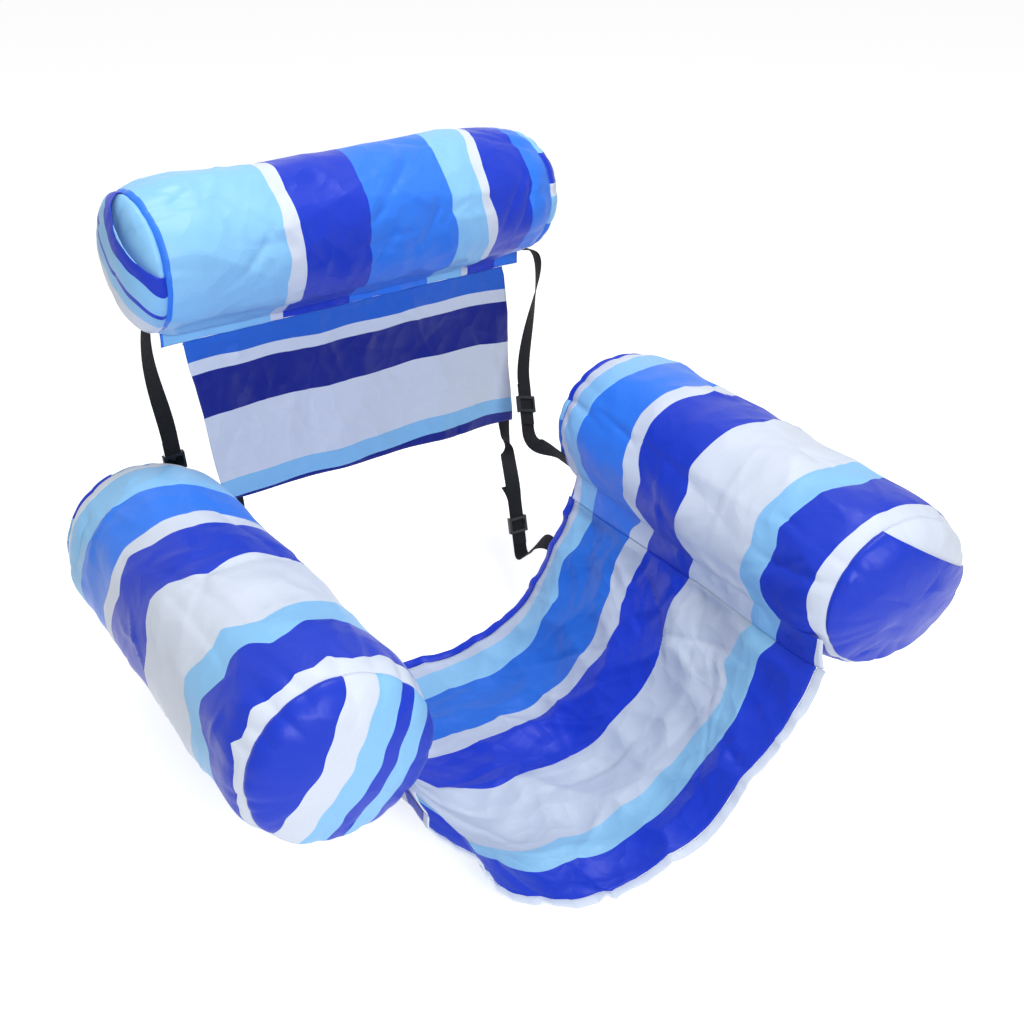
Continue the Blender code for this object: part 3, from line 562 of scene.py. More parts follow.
leftArmEdges = {
    0.145: ((-1, -18), (18, -4), (28, -3), (50, 5), (69, 12), (87, 22), (105, 30)),
    0.29: ((5, -7), (21, 15), (36, 8), (48, 4), (74, 10), (91, 9), (107, 8), (121, 24)),
    0.345: ((-3, -16), (25, 14), (37, -2), (44, -16), (60, 12), (81, 14), (103, 15), (122, 3)),
    0.51: ((3, 12), (21, 20), (32, -4), (39, -16), (53, -4), (73, 32), (89, 17), (103, 8), (121, 5), (146, -2)),
    0.75: ((13, 26), (19, -6), (27, -21), (42, 0), (51, 0), (60, -10), (69, 13), (79, 24), (95, 3), (110, -12),
           (140, -26)),
    0.835: ((7, 28), (12, 6), (19, -14), (28, -15), (45, 4), (54, -14), (65, -10), (75, 16), (86, 7), (98, -10),
            (118, -17), (131, -13), (145, -4)),
    0.95: ((-4, 24), (17, 19), (25, 0), (31, 17), (46, 6), (63, 19), (74, 5), (84, 11), (95, -6), (106, 12),
           (127, -7), (146, 4)),
}
backEdges = {
    0.236: ((76, 18), (112, 13), (134, 13), (157, -1), (180, 6), (198, 1), (225, 9), (255, 24), (280, 22)),
    0.27: ((76, 24), (118, 13), (141, 7), (159, 2), (177, 5), (202, 11), (234, 22), (255, 26), (280, 24)),
    0.45: ((85, 28), (116, 17), (142, 3), (161, 2), (183, -1), (219, 12), (255, 24), (280, 22)),
    0.676: ((79, 32), (121, 13), (144, 6), (169, 0), (184, 11), (200, 17), (255, 27), (280, 24)),
    0.78: ((88, 23), (120, 2), (138, -6), (164, -11), (184, -3), (207, 4), (255, 22), (280, 22)),
    0.80: ((90, 28), (120, 8), (138, 1), (164, -3), (184, 6), (207, 14), (255, 26), (280, 26)),
    0.902: ((90, 38), (123, 29), (142, 26), (159, 28), (172, 12), (199, 18), (220, 17), (255, 26), (280, 26)),
}


def foldLines(rows, length, girth):
    # Folds given by share, degrees, share, degrees, width and depth
    lines = []
    for share, turn, toShare, toTurn, width, depth in rows:
        a = np.array((share * length - length / 2, turn / 360 * girth))
        b = np.array((toShare * length - length / 2, toTurn / 360 * girth))
        lines.append((*((a + b) / 2), *unit(b - a), np.linalg.norm(b - a) / 2, width, depth))
    return lines


def makeRoll(place, shape, look=rollLook):
    # Ends are -1 and 1 along the roll. tilt: metres that a seam leans back away from a direction, the direction,
    # and how far it leads. tuck: metres that a rim draws in, and on which side. Directions are in degrees.
    roll = {"ridges": (), "dip": 0.0, "cuspStart": -1.0, "folds": (), "foldSpots": {}, **shape, "frame": place}
    for key, plain in (("tilt", (0.0, 90, 0.0)), ("droop", 0.0), ("tuck", ())):
        roll[key] = {-1: plain, 1: plain, **shape.get(key, {})}
    seed, count = roll["seed"], look["gathers"]
    draw = np.random.RandomState(seed)
    roll["gathers"] = {}
    for end in (-1, 1):
        spots = (np.arange(count) + draw.uniform(-0.3, 0.3, count)) * fullTurn / count
        given = [math.radians(a) for a in roll["foldSpots"].get(end, ())]
        if given:
            low, high = min(given) - 0.2, max(given) + 0.2
            spots = [a for a in spots if not low < (a + 0.6) % fullTurn - 0.6 < high] + given
        roll["gathers"][end] = [(spot, draw.uniform(0.04, 0.10), draw.uniform(0.25, 1.0) * roll["gatherDepth"][end],
                                 draw.uniform(0.025, 0.100), draw.uniform(-2.0, 2.0)) for spot in spots]
    half, radius = roll["length"] / 2, roll["seamRadius"]
    girth = roll["girth"] = fullTurn * (radius + roll["swell"])
    whole = (-half, 0.0), (half, girth)
    roll["creases"] = (makeCreases(seed + 3, *whole, *look["creases"])
                       + foldLines(roll["folds"], roll["length"], girth))
    roll["longCreases"] = makeCreases(seed + 4, *whole, *look["longCreases"])
    roll["capCreases"] = {
        end: makeCreases(seed + 100 + end, (-radius, -radius), (radius, radius), *look["capCreases"])
        for end in (-1, 1)
    }
    return roll


def gatherAt(roll, end, away, angle):
    # Depth of the gathers that a seam draws into the cloth, away metres from it
    total = np.zeros(np.broadcast(away, angle).shape)
    soft = 0.018             # radians over which a gather's ridge is blunt
    for spot, width, depth, reach, lean in roll["gathers"][end]:
        gap = wrapped(angle - spot - lean * away)
        spread = width * (1 + away / 0.055)
        total += depth * np.exp(-(np.sqrt(gap ** 2 + soft ** 2) - soft) / spread) * np.exp(-away / reach)
    return total * (0.4 + 0.6 * (1 - np.exp(-away / 0.010)))


def profileAt(roll, along, look=rollLook):
    near = np.clip((roll["length"] / 2 - np.abs(along)) / look["rounding"], 0, 1)
    return roll["seamRadius"] + roll["swell"] * (1 - (1 - near) ** look["roundingPower"])


def creaseGap(roll, angle):
    return np.abs(wrapped(angle - roll["creaseAngle"]))


def cuspAt(roll, along, angle, look=rollLook):
    arc = creaseGap(roll, angle) * roll["seamRadius"]
    behind = 0.5 - along / roll["length"] - roll["cuspStart"]
    return np.exp(-arc / look["cuspWidth"]) * smoothRise((behind + 0.02) / 0.04)


def tuckAt(roll, end, angle):
    total = np.zeros(np.shape(angle))
    for amount, direction in roll["tuck"][end]:
        total = total + amount * np.clip(np.cos(angle - math.radians(direction)), 0, 1) ** 2
    return total


def shiftOf(edges, share, place, period=None):
    # Metres by which the print lies ahead of its even place
    shares = [0.0]
    shifts = [np.zeros(np.shape(place))]
    for edge, spots in edges.items():
        at = [spot % period if period else spot for spot, _ in spots]
        shares.append(edge)
        shifts.append(np.interp(place, at, [mm / 1000 for _, mm in spots], period=period))
    shares.append(1.0)
    shifts.append(shifts[-1] * 0.4)
    total = np.zeros(np.broadcast(share, place).shape)
    for low, high, near, far in zip(shares, shares[1:], shifts, shifts[1:]):
        part = np.clip((share - low) / (high - low), 0, 1)
        inside = (share >= low) & ((share < high) | (high == 1.0))
        total = np.where(inside, near * (1 - part) + far * part, total)
    return total


def stripeShift(roll, share, angle):
    return shiftOf(roll["edges"], share, np.degrees(angle) % 360, 360)


def seamShift(roll, end, angle, share):
    # How far a leaning end seam lies behind its place; share is 1 at the rim
    amount, direction, lead = roll["tilt"][end]
    level = np.cos(angle - math.radians(direction)) * share
    return amount * np.power(0.5 - 0.5 * level, 1.5) - lead


def sleeveRadius(roll, along, angle, look=rollLook):
    half = roll["length"] / 2
    base = profileAt(roll, along) + look["fuller"] * smoothRise((half - np.abs(along)) / 0.03)
    toFront = half - along
    toRear = half + along
    gather = gatherAt(roll, 1, np.maximum(toFront, 0), angle) + gatherAt(roll, -1, np.maximum(toRear, 0), angle)
    nearest = np.minimum(toFront, toRear)
    arc = angle * (roll["seamRadius"] + roll["swell"])
    inside = smoothRise(nearest / 0.05)
    relief = waveHeight(roll["seed"] + 1, along, angle, *look["waves"]) * (0.4 + 0.6 * inside)
    relief += creaseDepth(roll["creases"], along, arc, roll["girth"]) * (0.5 + 0.5 * inside)
    relief += creaseDepth(roll["longCreases"], along, arc, roll["girth"]) * inside
    relief += crumple(roll["seed"] + 7, along, arc, (-half, 0.0), (half, roll["girth"]), look["facet"],
                      look["facetSlope"], roll["girth"]) * inside
    for at, height, width in roll["ridges"]:
        relief += height * np.exp(-np.abs(wrapped(angle - math.radians(at))) / width) * inside
    relief -= roll["dip"] * np.exp(-((creaseGap(roll, angle) - 0.42) / 0.27) ** 2) * (0.35 + 0.65 * inside)
    cusp = cuspAt(roll, along, angle)
    relief = relief * (1 - cusp) - gather * (1 - 0.85 * cusp)
    pinch = look["seamPinch"] * np.exp(-(nearest / look["seamPinchWidth"]) ** 2)
    radius = base + relief + look["cuspHeight"] * cusp * (0.3 + 0.7 * inside) - pinch
    for end, away in ((1, toFront), (-1, toRear)):
        radius = radius - tuckAt(roll, end, angle) * np.exp(-np.maximum(away, 0) / 0.07)
    return radius


def sleevePiece(name, roll, material, look=rollLook):
    half = roll["length"] / 2
    t = np.linspace(-1, 1, look["rows"])
    along = half * (look["crowding"] * t + (1 - look["crowding"]) * np.sin(t * math.pi / 2))
    along = np.concatenate([along[:1], along, along[-1:]])
    angle = np.arange(look["columns"] + 1) * fullTurn / look["columns"]
    x, a = np.meshgrid(along, angle, indexing="ij")
    radius = sleeveRadius(roll, x, a)
    radius[[0, -1]] -= look["seamAllowance"]
    away = half - np.abs(x)
    shift = np.where(x > 0, seamShift(roll, 1, a, 1.0), seamShift(roll, -1, a, 1.0))
    place = x - np.sign(x) * shift * np.exp(-away / 0.06)
    grid = np.stack([place, radius * np.cos(a), radius * np.sin(a)], axis=2)[:, :-1]
    share = half + roll["frontSign"] * x
    u = share - stripeShift(roll, share / roll["length"], a)
    v = a * (roll["seamRadius"] + roll["swell"])
    uv = np.stack([u, v], axis=2)
    return gridPiece(name, throughFrame(roll["frame"], grid), uv, material, chair["cloth"], wrap=True, flip=True)


def domeGrid(roll, end, inset, flatten=1.0, look=rollLook):
    # Cap in the roll's frame: rows from the rim to near the pole
    t = np.linspace(0, 1, look["capRows"])
    share = np.cos(t * math.pi / 2) ** 0.9
    share[-1] = 0.012
    s, a = np.meshgrid(share, ringAngles(look["columns"]), indexing="ij")
    bulge = (roll["bulge"] - inset) * flatten
    lift = bulge * np.power(np.maximum(1 - s ** look["capPower"], 0), 1 / 1.9)
    r = (roll["seamRadius"] - inset) * s
    step = np.sqrt(np.diff(lift, axis=0) ** 2 + np.diff(r, axis=0) ** 2)
    away = np.concatenate([np.zeros((1, s.shape[1])), np.cumsum(step, axis=0)])
    gather = 0.75 * gatherAt(roll, end, away, a)
    nx = -np.gradient(r, axis=0)
    nr = np.gradient(lift, axis=0)
    size = np.maximum(np.hypot(nx, nr), 1e-9)
    nx, nr = nx / size, nr / size
    nx[0], nr[0] = 0.0, 1.0
    calm = smoothRise(s / 0.25)
    relief = creaseDepth(roll["capCreases"][end], r * np.cos(a), r * np.sin(a)) * smoothRise(away / 0.03) * calm
    relief = relief - gather * smoothRise((s - 0.3) / 0.5)
    relief -= look["seamPinch"] * np.exp(-(away / look["seamPinchWidth"]) ** 2)
    level = np.sin(a) * s
    lift = lift * (1 - roll["droop"][end] * (0.5 - 0.5 * level) ** 2)
    x = end * (roll["length"] / 2 + 0.0003 + lift + relief * nx - seamShift(roll, end, a, s))
    r = r + relief * nr - tuckAt(roll, end, a) * s
    grid = np.stack([x, r * np.cos(a), r * np.sin(a)], axis=2)
    lip = grid[:1].copy()
    lip[:, :, 1:] *= 1 - look["seamAllowance"] / roll["seamRadius"]
    return np.concatenate([lip, grid]), away


def capPiece(name, roll, end, stripeWay, material, inset=0.0, keep=None, mouth=0.0, flatten=1.0):
    # keep is (direction in the cap's plane, from, to): which part of an envelope cap this is
    grid, _ = domeGrid(roll, end, inset, flatten)
    rows, columns = grid.shape[:2]
    way, low, high = keep or ((0.0, 1.0), None, None)
    if mouth:                # the free edge stands out a little
        along = (grid[:, :, 1] * way[0] + grid[:, :, 2] * way[1])
        beside = (-grid[:, :, 1] * way[1] + grid[:, :, 2] * way[0]) / roll["seamRadius"]
        gape = np.exp(-((along - high) / 0.028) ** 2) * np.clip(1 - beside ** 2 * 1.5, 0, 1)
        grid[:, :, 0] += end * mouth * gape
    faces, _ = gridFaces(rows, columns, wrap=True, flip=end > 0)
    points = np.concatenate([grid.reshape(-1, 3), [[grid[-1, :, 0].mean(), 0.0, 0.0]]])
    last = (rows - 1) * columns
    for c in range(columns):
        fan = [last + c, last + (c + 1) % columns, len(points) - 1]
        faces.append(fan[::-1] if end > 0 else fan)
    work = bmesh.new()
    verts = [work.verts.new(point) for point in points]
    for face in faces:
        work.faces.new([verts[index] for index in face])
    for at, sign in ((low, -1), (high, 1)):
        if at is not None:
            bmesh.ops.bisect_plane(
                work, geom=work.verts[:] + work.edges[:] + work.faces[:], dist=0.00002,
                plane_co=(0.0, way[0] * at, way[1] * at), plane_no=(0.0, way[0] * sign, way[1] * sign),
                clear_outer=True)
    mesh = bpy.data.meshes.new(name)
    work.to_mesh(mesh)
    work.free()
    local = np.empty(len(mesh.vertices) * 3)
    mesh.vertices.foreach_get("co", local)
    local = local.reshape(-1, 3)
    corner = np.empty(len(mesh.loops), dtype=np.int32)
    mesh.loops.foreach_get("vertex_index", corner)
    u = local[:, 1] * stripeWay[0] + local[:, 2] * stripeWay[1]
    v = -local[:, 1] * stripeWay[1] + local[:, 2] * stripeWay[0]
    u = u + 0.0022 * np.sin(v * 60 + 1.3) + 0.0012 * np.sin(v * 141 + u * 40)
    layer = mesh.uv_layers.new(name="cloth")
    layer.data.foreach_set("uv", np.stack([u, v], axis=1)[corner].astype(np.float32).ravel())
    mesh.vertices.foreach_set("co", throughFrame(roll["frame"], local).astype(np.float32).ravel())
    mesh.materials.append(material)
    mesh.shade_smooth()
    item = linkPiece(name, mesh)
    addWall(item, chair["cloth"])
    return item


# below is in degrees under the arm's axis, start the bare share of the arm behind the skirt, leans in degrees
leftSkirtShape = {"below": 40, "start": 0.0, "rearLean": 22.0, "frontLean": 22.0}
# The right sleeve has turned on its roll, and its skirt is drawn forwards
rightSkirtShape = {"below": 17, "start": 0.10, "rearLean": 20.0, "frontLean": -9.0}

armShape = {
    "length": armLength, "seamRadius": chair["armSeamRadius"], "swell": 0.0088, "bulge": 0.044, "frontSign": -1,
}
rightArmShape = {
    **armShape, "seed": 31, "edges": rightArmEdges, "skirt": rightSkirtShape,
    "creaseAngle": -math.radians(rightSkirtShape["below"]),
    "cuspStart": rightSkirtShape["start"],
    "gatherDepth": {-1: 0.0060, 1: 0.0070},
    "ridges": ((35, 0.0030, 0.16), (-6, 0.0022, 0.12)),      # degrees, height, width
    "tilt": {-1: (0.015, 90, 0.0)},
    "droop": {-1: 0.90, 1: 0.2},
    "tuck": {-1: ((0.011, -70),)},
}
leftArmShape = {
    **armShape, "seed": 57, "edges": leftArmEdges, "skirt": leftSkirtShape,
    "creaseAngle": math.pi + math.radians(leftSkirtShape["below"]),
    "gatherDepth": {-1: 0.0085, 1: 0.0050},
    "foldSpots": {-1: (10, 25, 39, 54, 72, 95, 118, 138)},
    "ridges": ((46, 0.0024, 0.14), (73, 0.0020, 0.12)),
    "tilt": {-1: (0.002, 160, -0.0115)},
    "droop": {-1: 0.56, 1: 0.3},
    "tuck": {-1: ((0.005, -90), (-0.007, 178)), 1: ((-0.006, 20),)},
}
backRollShape = {
    "length": chair["backLength"], "seamRadius": chair["backSeamRadius"], "swell": 0.008, "bulge": 0.046,
    "frontSign": 1, "seed": 83, "edges": backEdges, "creaseAngle": -math.pi / 2,
    "gatherDepth": {-1: 0.0050, 1: 0.0060},
    "dip": 0.012,
    "tilt": {-1: (0.040, 150, 0.018)},
    "folds": (
        (0.48, 160, 0.64, 112, 0.005, -0.0085), (0.44, 172, 0.53, 148, 0.005, -0.0060),
        (0.59, 195, 0.67, 150, 0.005, -0.0060), (0.46, 208, 0.54, 165, 0.005, -0.0055),
        (0.12, 118, 0.29, 192, 0.006, -0.0055), (0.10, 200, 0.24, 150, 0.005, -0.0045),
        (0.88, 205, 0.95, 140, 0.005, -0.0055), (0.52, 140, 0.66, 170, 0.005, 0.0040),
    ),
}
rightArm = makeRoll(armFrame(1), rightArmShape)
leftArm = makeRoll(armFrame(-1), leftArmShape)
backRoll = makeRoll(backFrame(), backRollShape)


def capCloth(name, stripes, radius=chair["armSeamRadius"]):
    # stripes lists (end, ink) across the cap from -1 to 1
    return stripedCloth(name, [((end + 1) / 2, ink) for end, ink in stripes], 2 * radius, start=-radius)


leftFrontCloth = capCloth("printedTaffetaLeftFrontCap", [
    (-0.68, "royal"), (-0.43, "sky"), (-0.25, "royal"), (0.05, "sky"), (0.385, "white"), (1.0, "royal"),
])
rearCapCloth = capCloth("printedTaffetaRearCap", [
    (-0.5, "royal"), (-0.3, "white"), (0.2, "blue"), (0.5, "sky"), (1.0, "royal"),
])
backRightCloth = capCloth("printedTaffetaBackRightCap", [
    (-0.4, "blue"), (0.1, "sky"), (0.3, "white"), (0.7, "royal"), (1.0, "sky"),
], chair["backSeamRadius"])
backLeftCloth = capCloth("printedTaffetaBackLeftCap", [
    (-0.15, "white"), (0.09, "sky"), (0.17, "royal"), (0.46, "sky"), (0.66, "royal"), (1.0, "sky"),
], chair["backSeamRadius"])
innerCloth = plainCloth("printedTaffetaBackInnerHalf", "sky")
plainRoyal = plainCloth("printedTaffetaPlainRoyal", "royal")
plainWhite = plainCloth("printedTaffetaPlainWhite", "white")


def freeWay(degrees):
    # Towards an envelope cap's free edge, in the cap's plane
    turn = math.radians(degrees)
    return -math.cos(turn), -math.sin(turn)


envelope = {
    "way": freeWay(-49),
    "frontWay": freeWay(-59.5),
    "armEdge": 0.052,          # from a cap's middle to its outer half's free edge
    "frontEdge": 0.070,
    "backEdge": 0.067,
    "overlap": 0.050,
    "inset": chair["cloth"] + 0.0006,      # of an inner half under its outer one
    "backInset": chair["cloth"] + 0.0006 + 0.001,
    "backFlatten": 0.70,
}


def envelopeHalves(way, edge, outer, inner):
    # What the two halves of an envelope cap keep
    return ({"keep": (way, None, edge), **outer},
            {"inset": envelope["inset"], "keep": (way, edge - envelope["overlap"], None), **inner})


leftHalves = envelopeHalves(envelope["way"], envelope["armEdge"], {"mouth": 0.002}, {})
rightHalves = envelopeHalves(envelope["frontWay"], envelope["frontEdge"], {"mouth": 0.0015}, {})
backHalves = envelopeHalves(envelope["way"], envelope["backEdge"], {"mouth": 0.002, "flatten": 0.96},
                            {"inset": envelope["backInset"], "flatten": envelope["backFlatten"]})
upWay = (0.0, 1.0)
caps = {                       # roll, end, way of the stripes, cloth, half
    "left_arm_front_cap": (leftArm, -1, (0.875, 0.484), leftFrontCloth, {}),
    "left_arm_rear_outer_half": (leftArm, 1, upWay, rearCapCloth, leftHalves[0]),
    "left_arm_rear_inner_half": (leftArm, 1, upWay, innerCloth, leftHalves[1]),
    "right_arm_rear_cap": (rightArm, 1, upWay, rearCapCloth, {}),
    "right_arm_front_outer_half": (rightArm, -1, envelope["frontWay"], plainRoyal, rightHalves[0]),
    "right_arm_front_inner_half": (rightArm, -1, envelope["frontWay"], plainWhite, rightHalves[1]),
    "backrest_right_cap": (backRoll, 1, upWay, backRightCloth, {}),
    "backrest_left_outer_half": (backRoll, -1, envelope["way"], backLeftCloth, backHalves[0]),
    "backrest_left_inner_half": (backRoll, -1, envelope["way"], innerCloth, backHalves[1]),
}


def pieceName(node):
    first, *rest = node.split("_")
    return first + "".join(word.capitalize() for word in rest)


def bodyOf(node):
    return "backrest" if node.startswith("back") else "seat"


for node, roll, cloth in (("right_arm_sleeve", rightArm, rightArmCloth), ("left_arm_sleeve", leftArm, leftArmCloth),
                          ("backrest_sleeve", backRoll, backCloth)):
    piece = sleevePiece(pieceName(node), roll, cloth)
    dress(piece, node, bodyOf(node))
for node, (roll, end, stripeWay, cloth, half) in caps.items():
    piece = capPiece(pieceName(node), roll, end, stripeWay, cloth, **half)
    dress(piece, node, bodyOf(node))
print("chair: rolls made")

bladderLook = {
    "inside": 0.0135,          # gap to the sleeve
    "dome": 0.059,
    "shoulder": 0.045,
    "columns": 64,
    "hole": 0.0061,            # for the valve's tube
    "tip": 0.0145,             # flat round the valve
    "film": 0.0005,
}


def bladderPiece(name, roll, end, look=bladderLook):
    # Smooth welded bag inside the sleeve, open where the valve is welded in
    radius = roll["seamRadius"] + roll["swell"] - look["inside"]
    half = roll["length"] / 2 - look["shoulder"]
    places = []
    for step in range(15):                       # dome without the valve
        a = math.pi / 2 * step / 14
        places.append((-half - look["dome"] * math.cos(a), max(radius * math.sin(a), 0.0005)))
    for step in range(1, 24):
        places.append((-half + 2 * half * step / 24, radius))
    for step in range(14):
        a = math.pi / 2 * (1 - step / 14)
        places.append((half + look["dome"] * math.cos(a), radius * math.sin(a)))
    places = [(along, r) for along, r in places if not (along > 0 and r < look["tip"])]
    flat = half + look["dome"]
    places += [(flat, look["tip"]), (flat, look["hole"])]
    angle = ringAngles(look["columns"])
    grid = np.array([np.stack([np.full_like(angle, end * along), r * np.cos(angle), r * np.sin(angle)], axis=1)
                     for along, r in places])
    uv = np.zeros((grid.shape[0], grid.shape[1] + 1, 2))
    uv[:, :, 0] = np.linspace(0, roll["length"], grid.shape[0])[:, None]
    uv[:, :, 1] = np.linspace(0, fullTurn * radius, grid.shape[1] + 1)[None, :]
    item = gridPiece(name, throughFrame(roll["frame"], grid), uv, film, wrap=True, flip=end > 0)
    tip = Vector(throughFrame(roll["frame"], np.array([-end * flat, 0, 0])))
    work = bmesh.new()
    work.from_mesh(item.data)
    pole = [v for v in work.verts if v.is_boundary and (v.co - tip).length < 0.003]
    bmesh.ops.pointmerge(work, verts=pole, merge_co=tip)
    work.to_mesh(item.data)
    work.free()
    addWall(item, look["film"])
    return item


for word, roll, end in (("left_arm", leftArm, 1), ("right_arm", rightArm, -1), ("backrest", backRoll, -1)):
    bladder = bladderPiece(pieceName(word + "_bladder"), roll, end)
    dress(bladder, word + "_bladder", bodyOf(word))
    for node in (word + "_valve", word + "_valve_plug"):
        for slot in bpy.data.objects[node].material_slots:
            slot.material = vinyl
print("chair: bladders made")

slingLook = {
    "skirtDrop": 0.045,
    "leanReach": 0.6,          # share of the arm over which a skirt's lean changes
    "skirtRows": 18,
    "skirtWall": 0.0016,
    "skirtCreases": (40, (0.012, 0.035), (0.0025, 0.006), (0.0008, 0.0024), (0.0, 0.5)),
    "rows": 110,
    "columns": 170,
    "width": 0.80,             # between the skirts, along the cloth
    "first": 0.022,            # shares of the arm's length that the sling spans
    "last": 0.978,
    "sagFront": 0.235,
    "sagRear": 0.240,
    "fullnessFront": 2.6,
    "fullnessRear": 3.2,
    "fold": 0.004,
    "folds": 5,
    "drift": 2.2,
    "hemWidth": 0.014,
    "hemThickness": 0.0026,
    "seamGap": 0.0007,
    "facet": 0.080,
    "facetSlope": 0.270,
}
slingCreases = (               # seed, corners, count, half length, width, depth, lean
    (501, (0.0, 0.0), (armLength, slingLook["width"]), 46, (0.05, 0.17), (0.003, 0.008), (0.0018, 0.0050)),
    (502, (0.05, 0.0), (armLength - 0.05, 0.10), 10, (0.05, 0.12), (0.006, 0.012), (0.0020, 0.0045), (1.1, 0.5)),
    (503, (0.05, slingLook["width"] - 0.14), (armLength - 0.05, slingLook["width"]), 18, (0.05, 0.15),
     (0.003, 0.007), (0.0020, 0.0045), (-1.1, 0.5)),
)
# How far each stripe's edge lies ahead on the sling, mm, at shares from the left arm to the right
slingEdges = {
    0.045: ((0.0, 0), (0.45, 4), (0.8, 3), (0.86, -3), (1.0, -2)),
    0.11: ((0.0, 0), (0.3, 12), (0.45, 17), (0.7, 20), (0.77, 17), (0.81, 12), (0.84, -9), (0.88, -24), (0.92, -12),
           (0.95, -15), (1.0, -3)),
    0.29: ((0.0, 0), (0.3, 8), (0.45, 14), (0.52, 19), (0.6, 14), (0.73, 15), (0.77, 11), (0.84, 6), (0.876, -6),
           (0.91, -25), (0.95, -25), (1.0, -16)),
    0.345: ((0.0, 0), (0.3, 8), (0.45, 23), (0.52, 28), (0.56, 19), (0.63, 13), (0.66, 8), (0.7, 14), (0.77, 23),
            (0.84, 15), (0.876, -10), (0.91, -14), (0.95, -6), (1.0, 0)),
    0.51: ((0.0, 0), (0.3, 2), (0.34, 6), (0.38, 28), (0.41, 45), (0.45, 48), (0.485, 38), (0.52, 29), (0.56, 18),
           (0.6, 16), (0.66, 22), (0.73, 24), (0.8, 24), (0.84, 19), (0.876, -3), (0.91, -5), (0.95, -7), (1.0, 3)),
    0.75: ((0.0, 0), (0.2, 18), (0.3, 22), (0.36, 38), (0.42, 38), (0.5, 26), (0.56, 18), (0.6, 13), (0.7, 14),
           (0.76, 11), (0.8, 18), (0.84, 19), (0.876, 12), (0.91, -12), (0.95, -4), (1.0, 8)),
    0.835: ((0.0, 0), (0.2, 32), (0.3, 35), (0.4, 31), (0.5, 30), (0.6, 20), (0.7, 18), (0.735, 13), (0.77, 17),
            (0.84, 15), (0.88, 8), (0.91, 3), (0.95, 1), (1.0, 9)),
}


def allCreases(rows, x, y):
    return sum(creaseDepth(makeCreases(*row), x, y) for row in rows)


def creaseLine(roll, side, shares, look=slingLook):
    # Skirt's upper and lower edge at shares of the skirt, from the rear to the front
    skirt = roll["skirt"]
    shares = skirt["start"] + (1 - skirt["start"]) * shares
    along = (0.5 - shares) * roll["length"]
    angle = roll["creaseAngle"]
    radius = profileAt(roll, along) + 0.0030
    local = np.stack([along, radius * math.cos(angle), radius * math.sin(angle)], axis=-1)
    upper = throughFrame(roll["frame"], local)
    turned = np.minimum(1.0, shares / look["leanReach"])
    lean = np.radians(skirt["rearLean"] + (skirt["frontLean"] - skirt["rearLean"]) * turned)
    down = np.stack([-side * np.sin(lean), np.zeros_like(lean), -np.cos(lean)], axis=1)
    return upper, upper + down * look["skirtDrop"], down


def hemShift(share):
    # The last stripe runs on to the front hem beside both arms
    return 0.018 * smoothRise((share - 0.88) / 0.098)


def leftSeamShift(share):
    return 0.4 * stripeShift(leftArm, share, np.full(np.shape(share), leftArm["creaseAngle"]))


def skirtPiece(name, roll, side, material, look=slingLook):
    drop, length, start = look["skirtDrop"], roll["length"], roll["skirt"]["start"]
    shares = np.linspace(0.004, 0.996, 90)
    upper, lower, down = creaseLine(roll, side, shares)
    fall = np.linspace(0, 1, look["skirtRows"])
    grid = upper[None] * (1 - fall[:, None, None]) + lower[None] * fall[:, None, None]
    sideways = np.stack([-side * down[:, 2], np.zeros(len(down)), side * down[:, 0]], axis=1)[None]
    f, s = np.meshgrid(fall, shares * length, indexing="ij")
    creases = makeCreases(400 + side, (0.0, 0.0), (drop, length), *look["skirtCreases"])
    relief = creaseDepth(creases, f * drop, s) * np.sin(f * math.pi) ** 0.5
    relief += 0.0022 * np.sin(f * math.pi) * np.sin(s * 34 + side)
    grid = grid + sideways * relief[:, :, None]
    onRoll = start * length + (1 - start) * s
    atCrease = onRoll - stripeShift(roll, onRoll / length, np.full(s.shape, roll["creaseAngle"]))
    share = s / length
    ahead = shiftOf(slingEdges, share, np.ones(s.shape)) if side > 0 else leftSeamShift(share)
    atSeam = s - ahead - 0.5 * hemShift(share)
    blend = smoothRise(f * 1.15)
    uv = np.stack([atCrease * (1 - blend) + atSeam * blend, f * drop], axis=2)
    return gridPiece(name, grid, uv, material, look["skirtWall"], flip=side < 0)


def hangingRows(left, right, sag, fullness, count):
    # Even steps along hanging curves between two edges
    u = np.linspace(0, 1, 321)
    rows = []
    for a, b, s, power in zip(left, right, sag, fullness):
        curve = a[None] * (1 - u[:, None]) + b[None] * u[:, None]
        curve[:, 2] -= s * (1 - np.abs(2 * u - 1) ** power)
        run = lengthsAlong(curve)
        want = np.linspace(0, run[-1], count)
        rows.append(np.stack([np.interp(want, run, curve[:, k]) for k in range(3)], axis=1))
    return np.array(rows)


